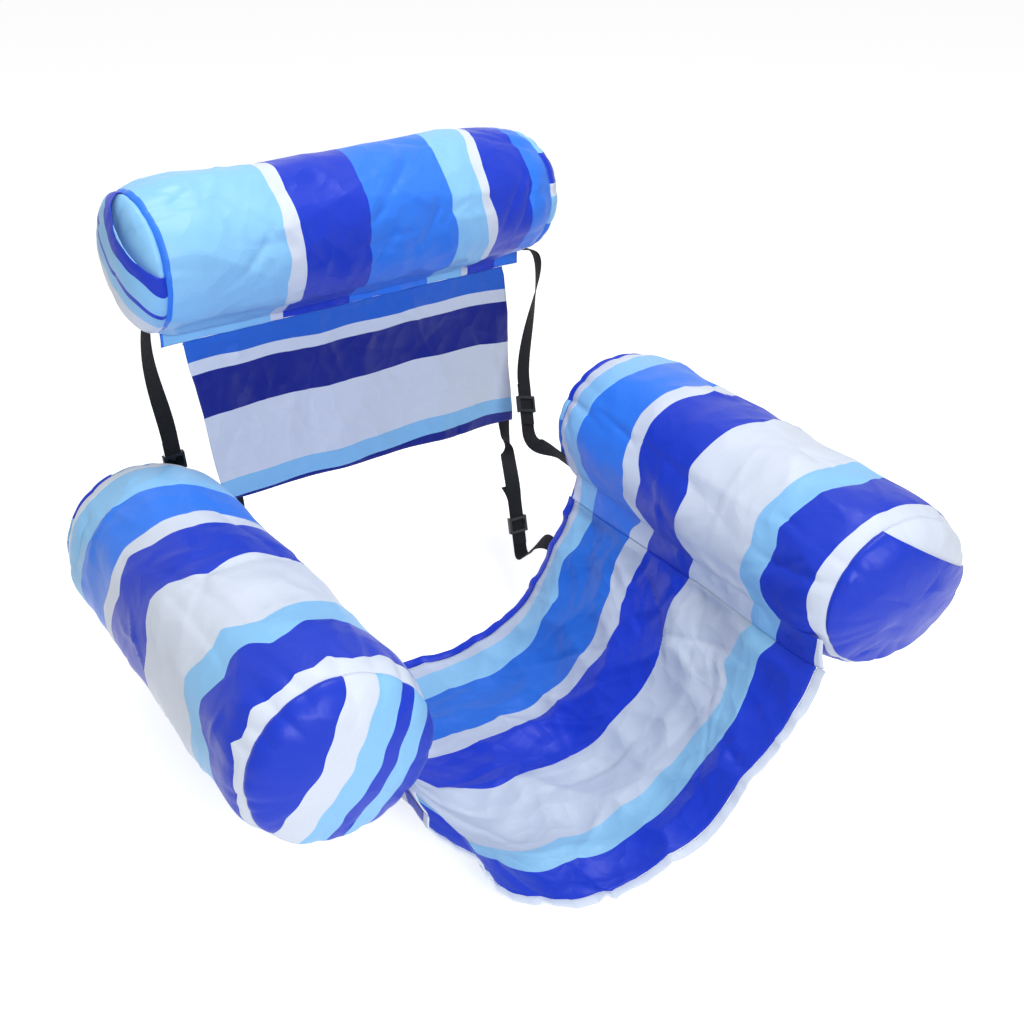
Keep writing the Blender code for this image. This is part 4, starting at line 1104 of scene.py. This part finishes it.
def slingGrid(look=slingLook):
    shares = np.linspace(look["first"], look["last"], look["rows"])
    edges = []
    for side, roll in ((-1, leftArm), (1, rightArm)):
        _, lower, down = creaseLine(roll, side, shares)
        edges.append(lower + down * look["seamGap"])
    sag = look["sagRear"] + (look["sagFront"] - look["sagRear"]) * shares
    fullness = look["fullnessRear"] + (look["fullnessFront"] - look["fullnessRear"]) * shares
    grid = hangingRows(*edges, sag, fullness, look["columns"])
    s, c = np.meshgrid(shares, np.linspace(0, 1, look["columns"]), indexing="ij")
    fold = np.sin(math.pi * look["folds"] * c + look["drift"] * s)
    grid[:, :, 2] += look["fold"] * fold * np.sin(math.pi * c) ** 2
    width = look["width"]
    x = s * armLength
    y = c * width
    edge = np.minimum(c, 1 - c) * width
    relief = allCreases(slingCreases, x, y)
    relief += crumple(509, x, y, (0.0, 0.0), (armLength, width), look["facet"], look["facetSlope"])
    relief *= smoothRise(edge / 0.02)
    grid = grid + gridNormals(grid) * relief[:, :, None]
    calm = smoothRise(edge / 0.03)
    wave = (0.0022 * np.sin(y * 31 + 4 * s) + 0.0014 * np.sin(y * 73 + 9 * s)) * calm
    wave *= smoothRise((1 - s) / 0.1)
    wave -= shiftOf(slingEdges, s, c) * smoothRise((1 - s) / 0.08)
    wave -= leftSeamShift(s) * np.exp(-c * width / 0.05)
    wave -= hemShift(s) * np.exp(-edge / 0.05) * smoothRise((look["last"] - s) / 0.05 + 0.35)
    return grid, np.stack([x + wave, y], axis=2)


def hemPiece(name, edge, inside, material, look=slingLook):
    # Folded hem that continues the cloth past its edge
    out = unit(edge - inside)
    run = unit(np.gradient(edge, axis=0))
    out = unit(out - run * np.sum(out * run, axis=1, keepdims=True))
    thick = np.cross(run, out)
    step = np.arange(len(edge))
    ripple = 0.0006 * np.sin(step * 0.9) + 0.0005 * np.sin(step * 0.37 + 1)
    middle = edge + out * (look["hemWidth"] / 2 + look["seamGap"]) + thick * ripple[:, None]
    return closedSweep(name, middle, out, thick, look["hemWidth"] / 2, look["hemThickness"] / 2, 0.0009, material)


slingPoints, slingMap = slingGrid()
sling = gridPiece("slingSeat", slingPoints, slingMap, slingCloth, chair["cloth"])
frontHem = hemPiece("slingFrontHem", slingPoints[-1], slingPoints[-3], whiteHem)
rearHem = hemPiece("slingRearHem", slingPoints[0], slingPoints[2], royalHem)
leftSkirt = skirtPiece("leftArmSkirt", leftArm, -1, leftArmCloth)
rightSkirt = skirtPiece("rightArmSkirt", rightArm, 1, rightArmCloth)
dress(sling, "sling_seat", "seat")
dress(frontHem, "sling_front_hem", "seat")
dress(rearHem, "sling_rear_hem", "seat")
dress(leftSkirt, "left_arm_skirt", "seat")
dress(rightSkirt, "right_arm_skirt", "seat")
print("chair: sling made")

panelLook = {
    "flapDrop": 0.020,
    "flapLead": 0.015,         # the flap's print lies this far to the right
    "flapStart": -0.335,
    "flapStop": 0.372,
    "flapWall": 0.0018,
    "width": 0.636,
    "shift": 0.019,
    "dropLeft": 0.257,
    "dropRight": 0.283,
    "drawLeft": 0.039,
    "drawRight": -0.014,
    "forward": 0.023,
    "belly": 0.014,
    "fold": 0.003,
    "folds": 3,
    "facet": 0.08,
    "facetSlope": 0.130,
    "rows": 70,
    "columns": 150,
}
panelCreases = (               # as the sling's
    (601, (0.0, 0.0), (panelLook["width"], 0.27), 30, (0.04, 0.12), (0.004, 0.010), (0.0010, 0.0032)),
    (602, (0.0, 0.02), (panelLook["width"], 0.25), 9, (0.08, 0.2), (0.006, 0.012), (0.0010, 0.0022), (0.15, 0.4)),
)


def flapPiece(name, roll, material, look=panelLook):
    # Doubled cloth from the sleeve's closing seam down to the panel's seam
    along = np.linspace(look["flapStart"], look["flapStop"], 150)
    top = -(profileAt(roll, along) + 0.0028)
    bottom = -(roll["seamRadius"] + roll["swell"] + 0.0003 + look["flapDrop"])
    fall = np.linspace(0, 1, 9)
    z = top[None] * (1 - fall[:, None]) + bottom * fall[:, None]
    x = np.broadcast_to(along, z.shape)
    y = 0.0016 * np.sin(x * 42) * np.sin(fall * math.pi * 0.8)[:, None] + 0.0010 * np.sin(x * 97 + 1) * fall[:, None]
    ahead = stripeShift(roll, x / roll["length"] + 0.5, np.full(x.shape, roll["creaseAngle"]))
    uv = np.stack([x + roll["length"] / 2 - ahead - look["flapLead"], -z], axis=2)
    return gridPiece(name, throughFrame(roll["frame"], np.stack([x, y, z], axis=2)), uv, material, look["flapWall"])


def panelGrid(roll, look=panelLook):
    top = -(roll["seamRadius"] + roll["swell"] + 0.0006 + look["flapDrop"])
    fall, share = np.meshgrid(np.linspace(0, 1, look["rows"]), np.linspace(0, 1, look["columns"]), indexing="ij")
    start = look["shift"] - look["width"] / 2 + look["drawLeft"] * fall
    stop = look["shift"] + look["width"] / 2 - look["drawRight"] * fall
    drop = look["dropLeft"] + (look["dropRight"] - look["dropLeft"]) * share
    fold = look["fold"] * np.sin(2 * math.pi * look["folds"] * share) * fall
    belly = look["belly"] * np.sin(math.pi * fall) * np.sin(math.pi * share)
    forward = look["forward"] * fall + fold - belly
    grid = np.stack([start + (stop - start) * share, -forward, top - drop * fall], axis=2)
    x = share * look["width"]
    y = fall * drop
    relief = allCreases(panelCreases, x, y)
    relief += crumple(611, x, y, (0.0, 0.0), (look["width"], 0.27), look["facet"], look["facetSlope"])
    relief *= smoothRise(fall / 0.06)
    grid = grid + gridNormals(grid) * relief[:, :, None]
    wave = 0.0020 * np.sin(x * 14 + 0.6) + 0.0010 * np.sin(x * 47)
    skew = (share - 0.45) * 0.066 * smoothRise((fall - 0.55) / 0.4) * fall
    down = panelPrintDrop * (fall + skew) + wave * smoothRise(fall / 0.1)
    return throughFrame(roll["frame"], grid), np.stack([down, x], axis=2)


flap = flapPiece("backrestFlap", backRoll, backCloth)
panelPoints, panelMap = panelGrid(backRoll)
panel = gridPiece("backPanel", panelPoints, panelMap, panelCloth, chair["cloth"])
dress(flap, "backrest_flap", "backrest")
dress(panel, "back_panel", "backrest")

print("chair: panel made")

webSize = {
    "width": 0.025,
    "thickness": 0.0014,
    "plyGap": 0.0004,
    "edge": 0.0006,            # rounding of the webbing's edges
    "sliderLength": 0.028,
    "travel": 0.015,
    "end": 0.006,
    "steps": 44,
    "tailFlare": 0.018,
    "tailLength": 0.030,
}
webReach = webSize["sliderLength"] / 2 + webSize["travel"] + webSize["end"]     # straight this far from a slider
sliders = {      # place, across, behind and up
    "left_back": ((-0.3160, 0.4376, 0.0519),
                  (0.9931, 0.0, 0.1172), (-0.0116, 0.9951, 0.0979), (-0.1167, -0.0985, 0.9883)),
    "right_back": ((0.2975, 0.4316, 0.0183),
                   (0.9732, 0.0, -0.2302), (-0.1223, 0.8473, -0.5169), (0.1950, 0.5312, 0.8245)),
    "left_panel": ((-0.2311, 0.4390, -0.1689), (1.0, 0.0, 0.0), (0.0, 0.9701, -0.2425), (0.0, 0.2425, 0.9701)),
    "right_panel": ((0.2420, 0.3642, -0.1683), (1.0, 0.0, 0.0), (0.0, 0.9701, -0.2425), (0.0, 0.2425, 0.9701)),
}
straps = {       # slider, above or below it, sewn at, first way, flat ways, straight lap, tail
    "left_back_strap": ("left_back", 1, (-0.3416, 0.4160, 0.2688), (-0.1321, -0.0310, -0.9907),
                        [(0.2284, -0.9736, 0.0)], 0.0, False),
    "left_arm_strap": ("left_back", -1, (-0.2700, 0.3696, -0.0751), (-0.0244, 0.9997, 0.0),
                       [(-0.3745, -0.0092, -0.9272)], 0.034, False),
    "left_panel_strap": ("left_panel", 1, (-0.2364, 0.4197, -0.0010), (0.1354, -0.0588, -0.9890),
                         [(0.9840, 0.1622, -0.0737)], 0.0228, False),
    "left_sling_strap": ("left_panel", -1, (-0.2401, 0.3610, -0.2319), (0.0, 1.0, 0.0),
                         [(0.4607, -0.1497, -0.8748)], 0.014, True),
    "right_back_strap": ("right_back", 1, (0.3515, 0.5786, 0.2465), (0.9530, 0.2235, -0.2045),
                         [(-0.2284, 0.9736, 0.0)], 0.038, False),
    "right_arm_strap": ("right_back", -1, (0.2735, 0.2616, -0.0137), (0.0244, 0.9997, 0.0),
                        [(-0.3745, 0.0092, 0.9272)], 0.034, False),
    "right_panel_strap": ("right_panel", 1, (0.3229, 0.5533, -0.0433), (0.0360, -0.0747, -0.9966),
                          [(-0.9840, -0.1622, 0.0737), (0.1679, -0.9826, 0.0797)], 0.0228, False),
    "right_sling_strap": ("right_panel", -1, (0.2220, 0.2122, -0.1363), (0.0, 1.0, 0.0),
                          [(0.3864, -0.1256, 0.9137)], 0.014, True),
}


def strapPiece(name, row, size=webSize):
    sliderName, way, sewn, firstWay, flatWays, lap, tail = row
    place, across, behind, up = (np.array(v) for v in sliders[sliderName])
    sewn, firstWay = np.array(sewn), np.array(firstWay)
    layer = (-1 if way > 0 else 1) * (size["thickness"] + size["plyGap"]) / 2
    near = place + behind * layer + up * way * webReach
    far = place + behind * layer - up * way * webReach
    ahead = up * way
    start = sewn + firstWay * lap
    finishAt = near + ahead * size["end"]
    pull = np.linalg.norm(finishAt - start) / 3
    u = np.linspace(0, 1, size["steps"] + 1)[:, None]
    v = 1 - u
    bend = (start * v ** 3 + (start + firstWay * pull) * 3 * v * v * u
            + (finishAt + ahead * pull) * 3 * v * u * u + finishAt * u ** 3)
    route = [sewn + (start - sewn) * t for t in np.linspace(0, 1, 6)[:-1]] if lap else []
    turnFrom = len(route)
    route += list(bend)
    turnTo = len(route) - 1
    route += [near + (far - near) * t for t in np.linspace(0, 1, 8)]
    if tail:
        for t in np.linspace(0, 1, 9)[1:]:
            route.append(far + up * (size["end"] + t * (size["tailLength"] - size["end"]))
                         + behind * size["tailFlare"] * t ** 2)
    route = np.array(route)
    ways = [np.array(w) for w in flatWays] + [across]
    run = unit(np.gradient(route, axis=0))
    wide = []
    for at in range(len(route)):
        turned = min(1.0, max(0.0, (at - turnFrom) / (turnTo - turnFrom)))
        stage = turned * (len(ways) - 1)
        passed = min(int(stage), len(ways) - 2)
        w = ways[passed] * (1 - stage + passed) + ways[passed + 1] * (stage - passed)
        wide.append(unit(w - run[at] * np.dot(w, run[at])))
    wide = np.array(wide)
    thick = np.cross(run, wide)
    return closedSweep(name, route, wide, thick, size["width"] / 2, size["thickness"] / 2, size["edge"], webbing)


strapBodies = {"back": ["backrest"], "arm": ["seat", "backrest"], "panel": ["backrest", "seat"], "sling": ["seat"]}
for node, row in straps.items():
    piece = strapPiece(pieceName(node), row)
    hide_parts(node)
    bodies = strapBodies[node.split("_")[1]]
    if len(bodies) == 1:
        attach(piece, bodies[0])
    else:                      # it bends between its seam and the straight run through the slider
        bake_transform(piece)


def sliderPiece(node):
    # Copy of the moulded slider with its edges rounded
    source = bpy.data.objects[node]
    mesh = source.data.copy()
    item = linkPiece(pieceName(node), mesh)
    mesh.transform(source.matrix_world)
    work = bmesh.new()
    work.from_mesh(mesh)
    bmesh.ops.remove_doubles(work, verts=work.verts, dist=0.00002)
    bmesh.ops.dissolve_limit(work, angle_limit=math.radians(1), verts=work.verts, edges=work.edges)
    work.to_mesh(mesh)
    work.free()
    edge = item.modifiers.new("moulded edge", "BEVEL")
    edge.width = 0.0005
    edge.segments = 2
    edge.limit_method = "ANGLE"
    edge.angle_limit = math.radians(40)
    mesh.materials.clear()
    mesh.materials.append(acetal)
    mesh.shade_flat()
    return item


for node in ("left_back_slider", "right_back_slider", "left_panel_slider", "right_panel_slider"):
    dress(sliderPiece(node), node, node)
print("chair: webbing made")

stitchLook = {
    "pitch": 0.0046,
    "capPitch": 0.0062,        # round the right arm's cap
    "length": 0.0034,
    "thread": 0.00050,
    "lift": 0.0001,            # above the cloth
    "seed": 7,
}


def stitchTree(look):
    # Lays one short bead of thread at every pitch along the curves
    tree = bpy.data.node_groups.new("stitchesAlongSeams", "GeometryNodeTree")
    tree.interface.new_socket("Geometry", in_out="INPUT", socket_type="NodeSocketGeometry")
    sockets = {}
    for name, kind in (("Pitch", "Float"), ("Stitch Length", "Float"), ("Thread Radius", "Float"),
                       ("Thread", "Material")):
        sockets[name] = tree.interface.new_socket(name, in_out="INPUT", socket_type="NodeSocket" + kind).identifier
    tree.interface.new_socket("Geometry", in_out="OUTPUT", socket_type="NodeSocketGeometry")
    inputs = addNode(tree, "NodeGroupInput")
    spots = addNode(tree, "GeometryNodeCurveToPoints", {"mode": "LENGTH"},
                    {"Curve": (inputs, "Geometry"), "Length": (inputs, "Pitch")})
    bead = addNode(tree, "GeometryNodeMeshUVSphere", {"Segments": 6, "Rings": 4, "Radius": 1.0})
    half = addNode(tree, "ShaderNodeMath", {"operation": "MULTIPLY", 1: 0.5}, {0: (inputs, "Stitch Length")})
    uneven = addNode(tree, "FunctionNodeRandomValue", {"data_type": "FLOAT", "Seed": look["seed"], 2: 0.88, 3: 1.06})
    longer = addNode(tree, "ShaderNodeMath", {"operation": "MULTIPLY"}, {0: (half, 0), 1: (uneven, 1)})
    size = addNode(tree, "ShaderNodeCombineXYZ", {}, {
        "X": (inputs, "Thread Radius"), "Y": (inputs, "Thread Radius"), "Z": (longer, 0)})
    placed = addNode(tree, "GeometryNodeInstanceOnPoints", {}, {
        "Points": (spots, "Points"), "Instance": (bead, "Mesh"), "Rotation": (spots, "Rotation"), "Scale": (size, 0)})
    real = addNode(tree, "GeometryNodeRealizeInstances", {}, {0: (placed, 0)})
    finish = addNode(tree, "GeometryNodeSetMaterial", {}, {0: (real, 0), "Material": (inputs, "Thread")})
    addNode(tree, "NodeGroupOutput", {}, {0: (finish, 0)})
    return tree, sockets


seamTree, seamSockets = stitchTree(stitchLook)


def stitchPiece(name, seams, thread, body, pitch=stitchLook["pitch"], look=stitchLook):
    # seams is a list of point rows on the cloth
    data = bpy.data.curves.new(name + "Seams", "CURVE")
    data.dimensions = "3D"
    for row in seams:
        spline = data.splines.new("POLY")
        spline.points.add(len(row) - 1)
        flat = np.ones((len(row), 4))
        flat[:, :3] = row
        spline.points.foreach_set("co", flat.ravel())
    curve = linkPiece(name + "Seams", data)
    sew = curve.modifiers.new("stitches", "NODES")
    sew.node_group = seamTree
    values = {"Pitch": pitch, "Stitch Length": look["length"], "Thread Radius": look["thread"], "Thread": thread}
    for key, value in values.items():
        sew[seamSockets[key]] = value
    bpy.context.view_layer.update()
    mesh = bpy.data.meshes.new_from_object(curve.evaluated_get(bpy.context.evaluated_depsgraph_get()))
    mesh.name = name
    mesh.shade_smooth()
    bpy.data.objects.remove(curve, do_unlink=True)
    bpy.data.curves.remove(data)
    item = linkPiece(name, mesh)
    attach(item, body)


def sheetSeams(grid, columns, rows=(), look=stitchLook):
    # Just above both faces of a sheet, along whole columns and rows of its points
    normal = gridNormals(grid)
    seams = []
    for line in [np.s_[:, column] for column in columns] + [np.s_[row, :] for row in rows]:
        seams += [grid[line] + normal[line] * look["lift"],
                  grid[line] - normal[line] * (look["lift"] + chair["cloth"])]
    return seams


def hemSeams(edge, inside, look=slingLook):
    out = unit(edge - inside)
    thick = unit(np.cross(unit(np.gradient(edge, axis=0)), out))
    base = edge + out * 0.0028
    rise = thick * (look["hemThickness"] / 2 + stitchLook["lift"])
    return [base + rise, base - rise]


def capSeam(roll, end, low, high, inset, away, flatten=1.0):
    # Along a cap's rim, a little in from the seam, between two angles in degrees
    grid, distance = domeGrid(roll, end, inset, flatten)
    row = int(np.argmin(np.abs(distance[:, 0] - away))) + 1
    past = (np.arange(grid.shape[1]) * 360 / grid.shape[1] - low) % 360
    keep = sorted((c for c in range(len(past)) if past[c] + low <= high), key=lambda c: past[c])
    line = grid[row, keep]
    line[:, 0] += end * 0.0003
    line[:, 1:] *= 1.002
    return throughFrame(roll["frame"], line)


stitchPiece("slingSideStitches", sheetSeams(slingPoints, (1, -2)), navyThreadWithSeamShade, "seat")
stitchPiece("frontHemStitches", hemSeams(slingPoints[-1], slingPoints[-3]), whiteThread, "seat")
stitchPiece("rearHemStitches", hemSeams(slingPoints[0], slingPoints[2]), navyThreadWithSeamShade, "seat")
stitchPiece("panelStitches", sheetSeams(panelPoints, (2, -3), (1, -3)), navyThreadWithSeamShade, "backrest")
stitchPiece("rightArmCapStitches", [capSeam(rightArm, -1, 84, 180, envelope["inset"], 0.007)], navyThreadWithSeamShade, "seat",
            stitchLook["capPitch"])
stitchPiece("backrestCapStitches", [capSeam(backRoll, -1, 88, 176, envelope["backInset"], 0.006,
                                            envelope["backFlatten"])], navyThreadWithSeamShade, "backrest")
print("chair: stitches made")

studio = {
    "floorSize": 60.0,
    "floorColour": "#FAFAFA",
    "floorLift": 0.66,
    "worldStrength": 0.32,
    "aim": (0.0, 0.1, 0.0),
    "lamps": (                 # name, place, size, watts
        ("topLight", (0.1, 0.3, 2.7), 0.8, 40.0),
        ("frontLight", (-0.9, -3.4, 1.9), 0.9, 80.0),
    ),
}
plainWhiteLight = (1, 1, 1, 1)


def seenDirectly(tree):
    # 1 for what the camera sees, straight or by way of a glossy or clear surface
    paths = addNode(tree, "ShaderNodeLightPath")
    seen = (paths, "Is Camera Ray")
    for way in ("Is Glossy Ray", "Is Transmission Ray"):
        seen = (addNode(tree, "ShaderNodeMath", {"operation": "MAXIMUM"}, {0: seen, 1: (paths, way)}), 0)
    return seen


def makeFloor(look):
    low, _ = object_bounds()
    half = look["floorSize"] / 2
    mesh = bpy.data.meshes.new("floor")
    corners = [(x * half, y * half, low[2]) for x, y in ((-1, -1), (1, -1), (1, 1), (-1, 1))]
    mesh.from_pydata(corners, [], [(0, 1, 2, 3)])
    material, tree = newMaterial("matteFloor")
    lift = addNode(tree, "ShaderNodeMath", {"operation": "MULTIPLY", 1: look["floorLift"]}, {0: seenDirectly(tree)})
    glow = addNode(tree, "ShaderNodeEmission", {"Color": plainWhiteLight}, {"Strength": (lift, 0)})
    matte = addNode(tree, "ShaderNodeBsdfDiffuse", {"Color": toLinear(look["floorColour"])})
    both = addNode(tree, "ShaderNodeAddShader", {}, {0: (glow, "Emission"), 1: (matte, "BSDF")})
    addNode(tree, "ShaderNodeOutputMaterial", {}, {"Surface": (both, "Shader")})
    mesh.materials.append(material)
    linkPiece("floor", mesh)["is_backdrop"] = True


def makeLight(look):
    world = bpy.data.worlds.new("studio")
    bpy.context.scene.world = world
    world.use_nodes = True
    tree = world.node_tree
    tree.nodes.clear()
    plain = addNode(tree, "ShaderNodeBackground", {"Color": plainWhiteLight, "Strength": look["worldStrength"]})
    white = addNode(tree, "ShaderNodeBackground", {"Color": plainWhiteLight, "Strength": 1.0})
    mix = addNode(tree, "ShaderNodeMixShader", {}, {0: seenDirectly(tree), 1: (plain, 0), 2: (white, 0)})
    addNode(tree, "ShaderNodeOutputWorld", {}, {"Surface": (mix, 0)})
    for name, place, size, power in look["lamps"]:
        data = bpy.data.lights.new(name, "AREA")
        data.shape = "SQUARE"
        data.size = size
        data.energy = power
        lamp = linkPiece(name, data)
        lamp.location = place
        aim = Vector(look["aim"]) - Vector(place)
        lamp.rotation_euler = aim.to_track_quat("-Z", "Y").to_euler()


makeFloor(studio)
makeLight(studio)
bpy.context.scene.view_settings.view_transform = "Standard"
print("chair: studio made")
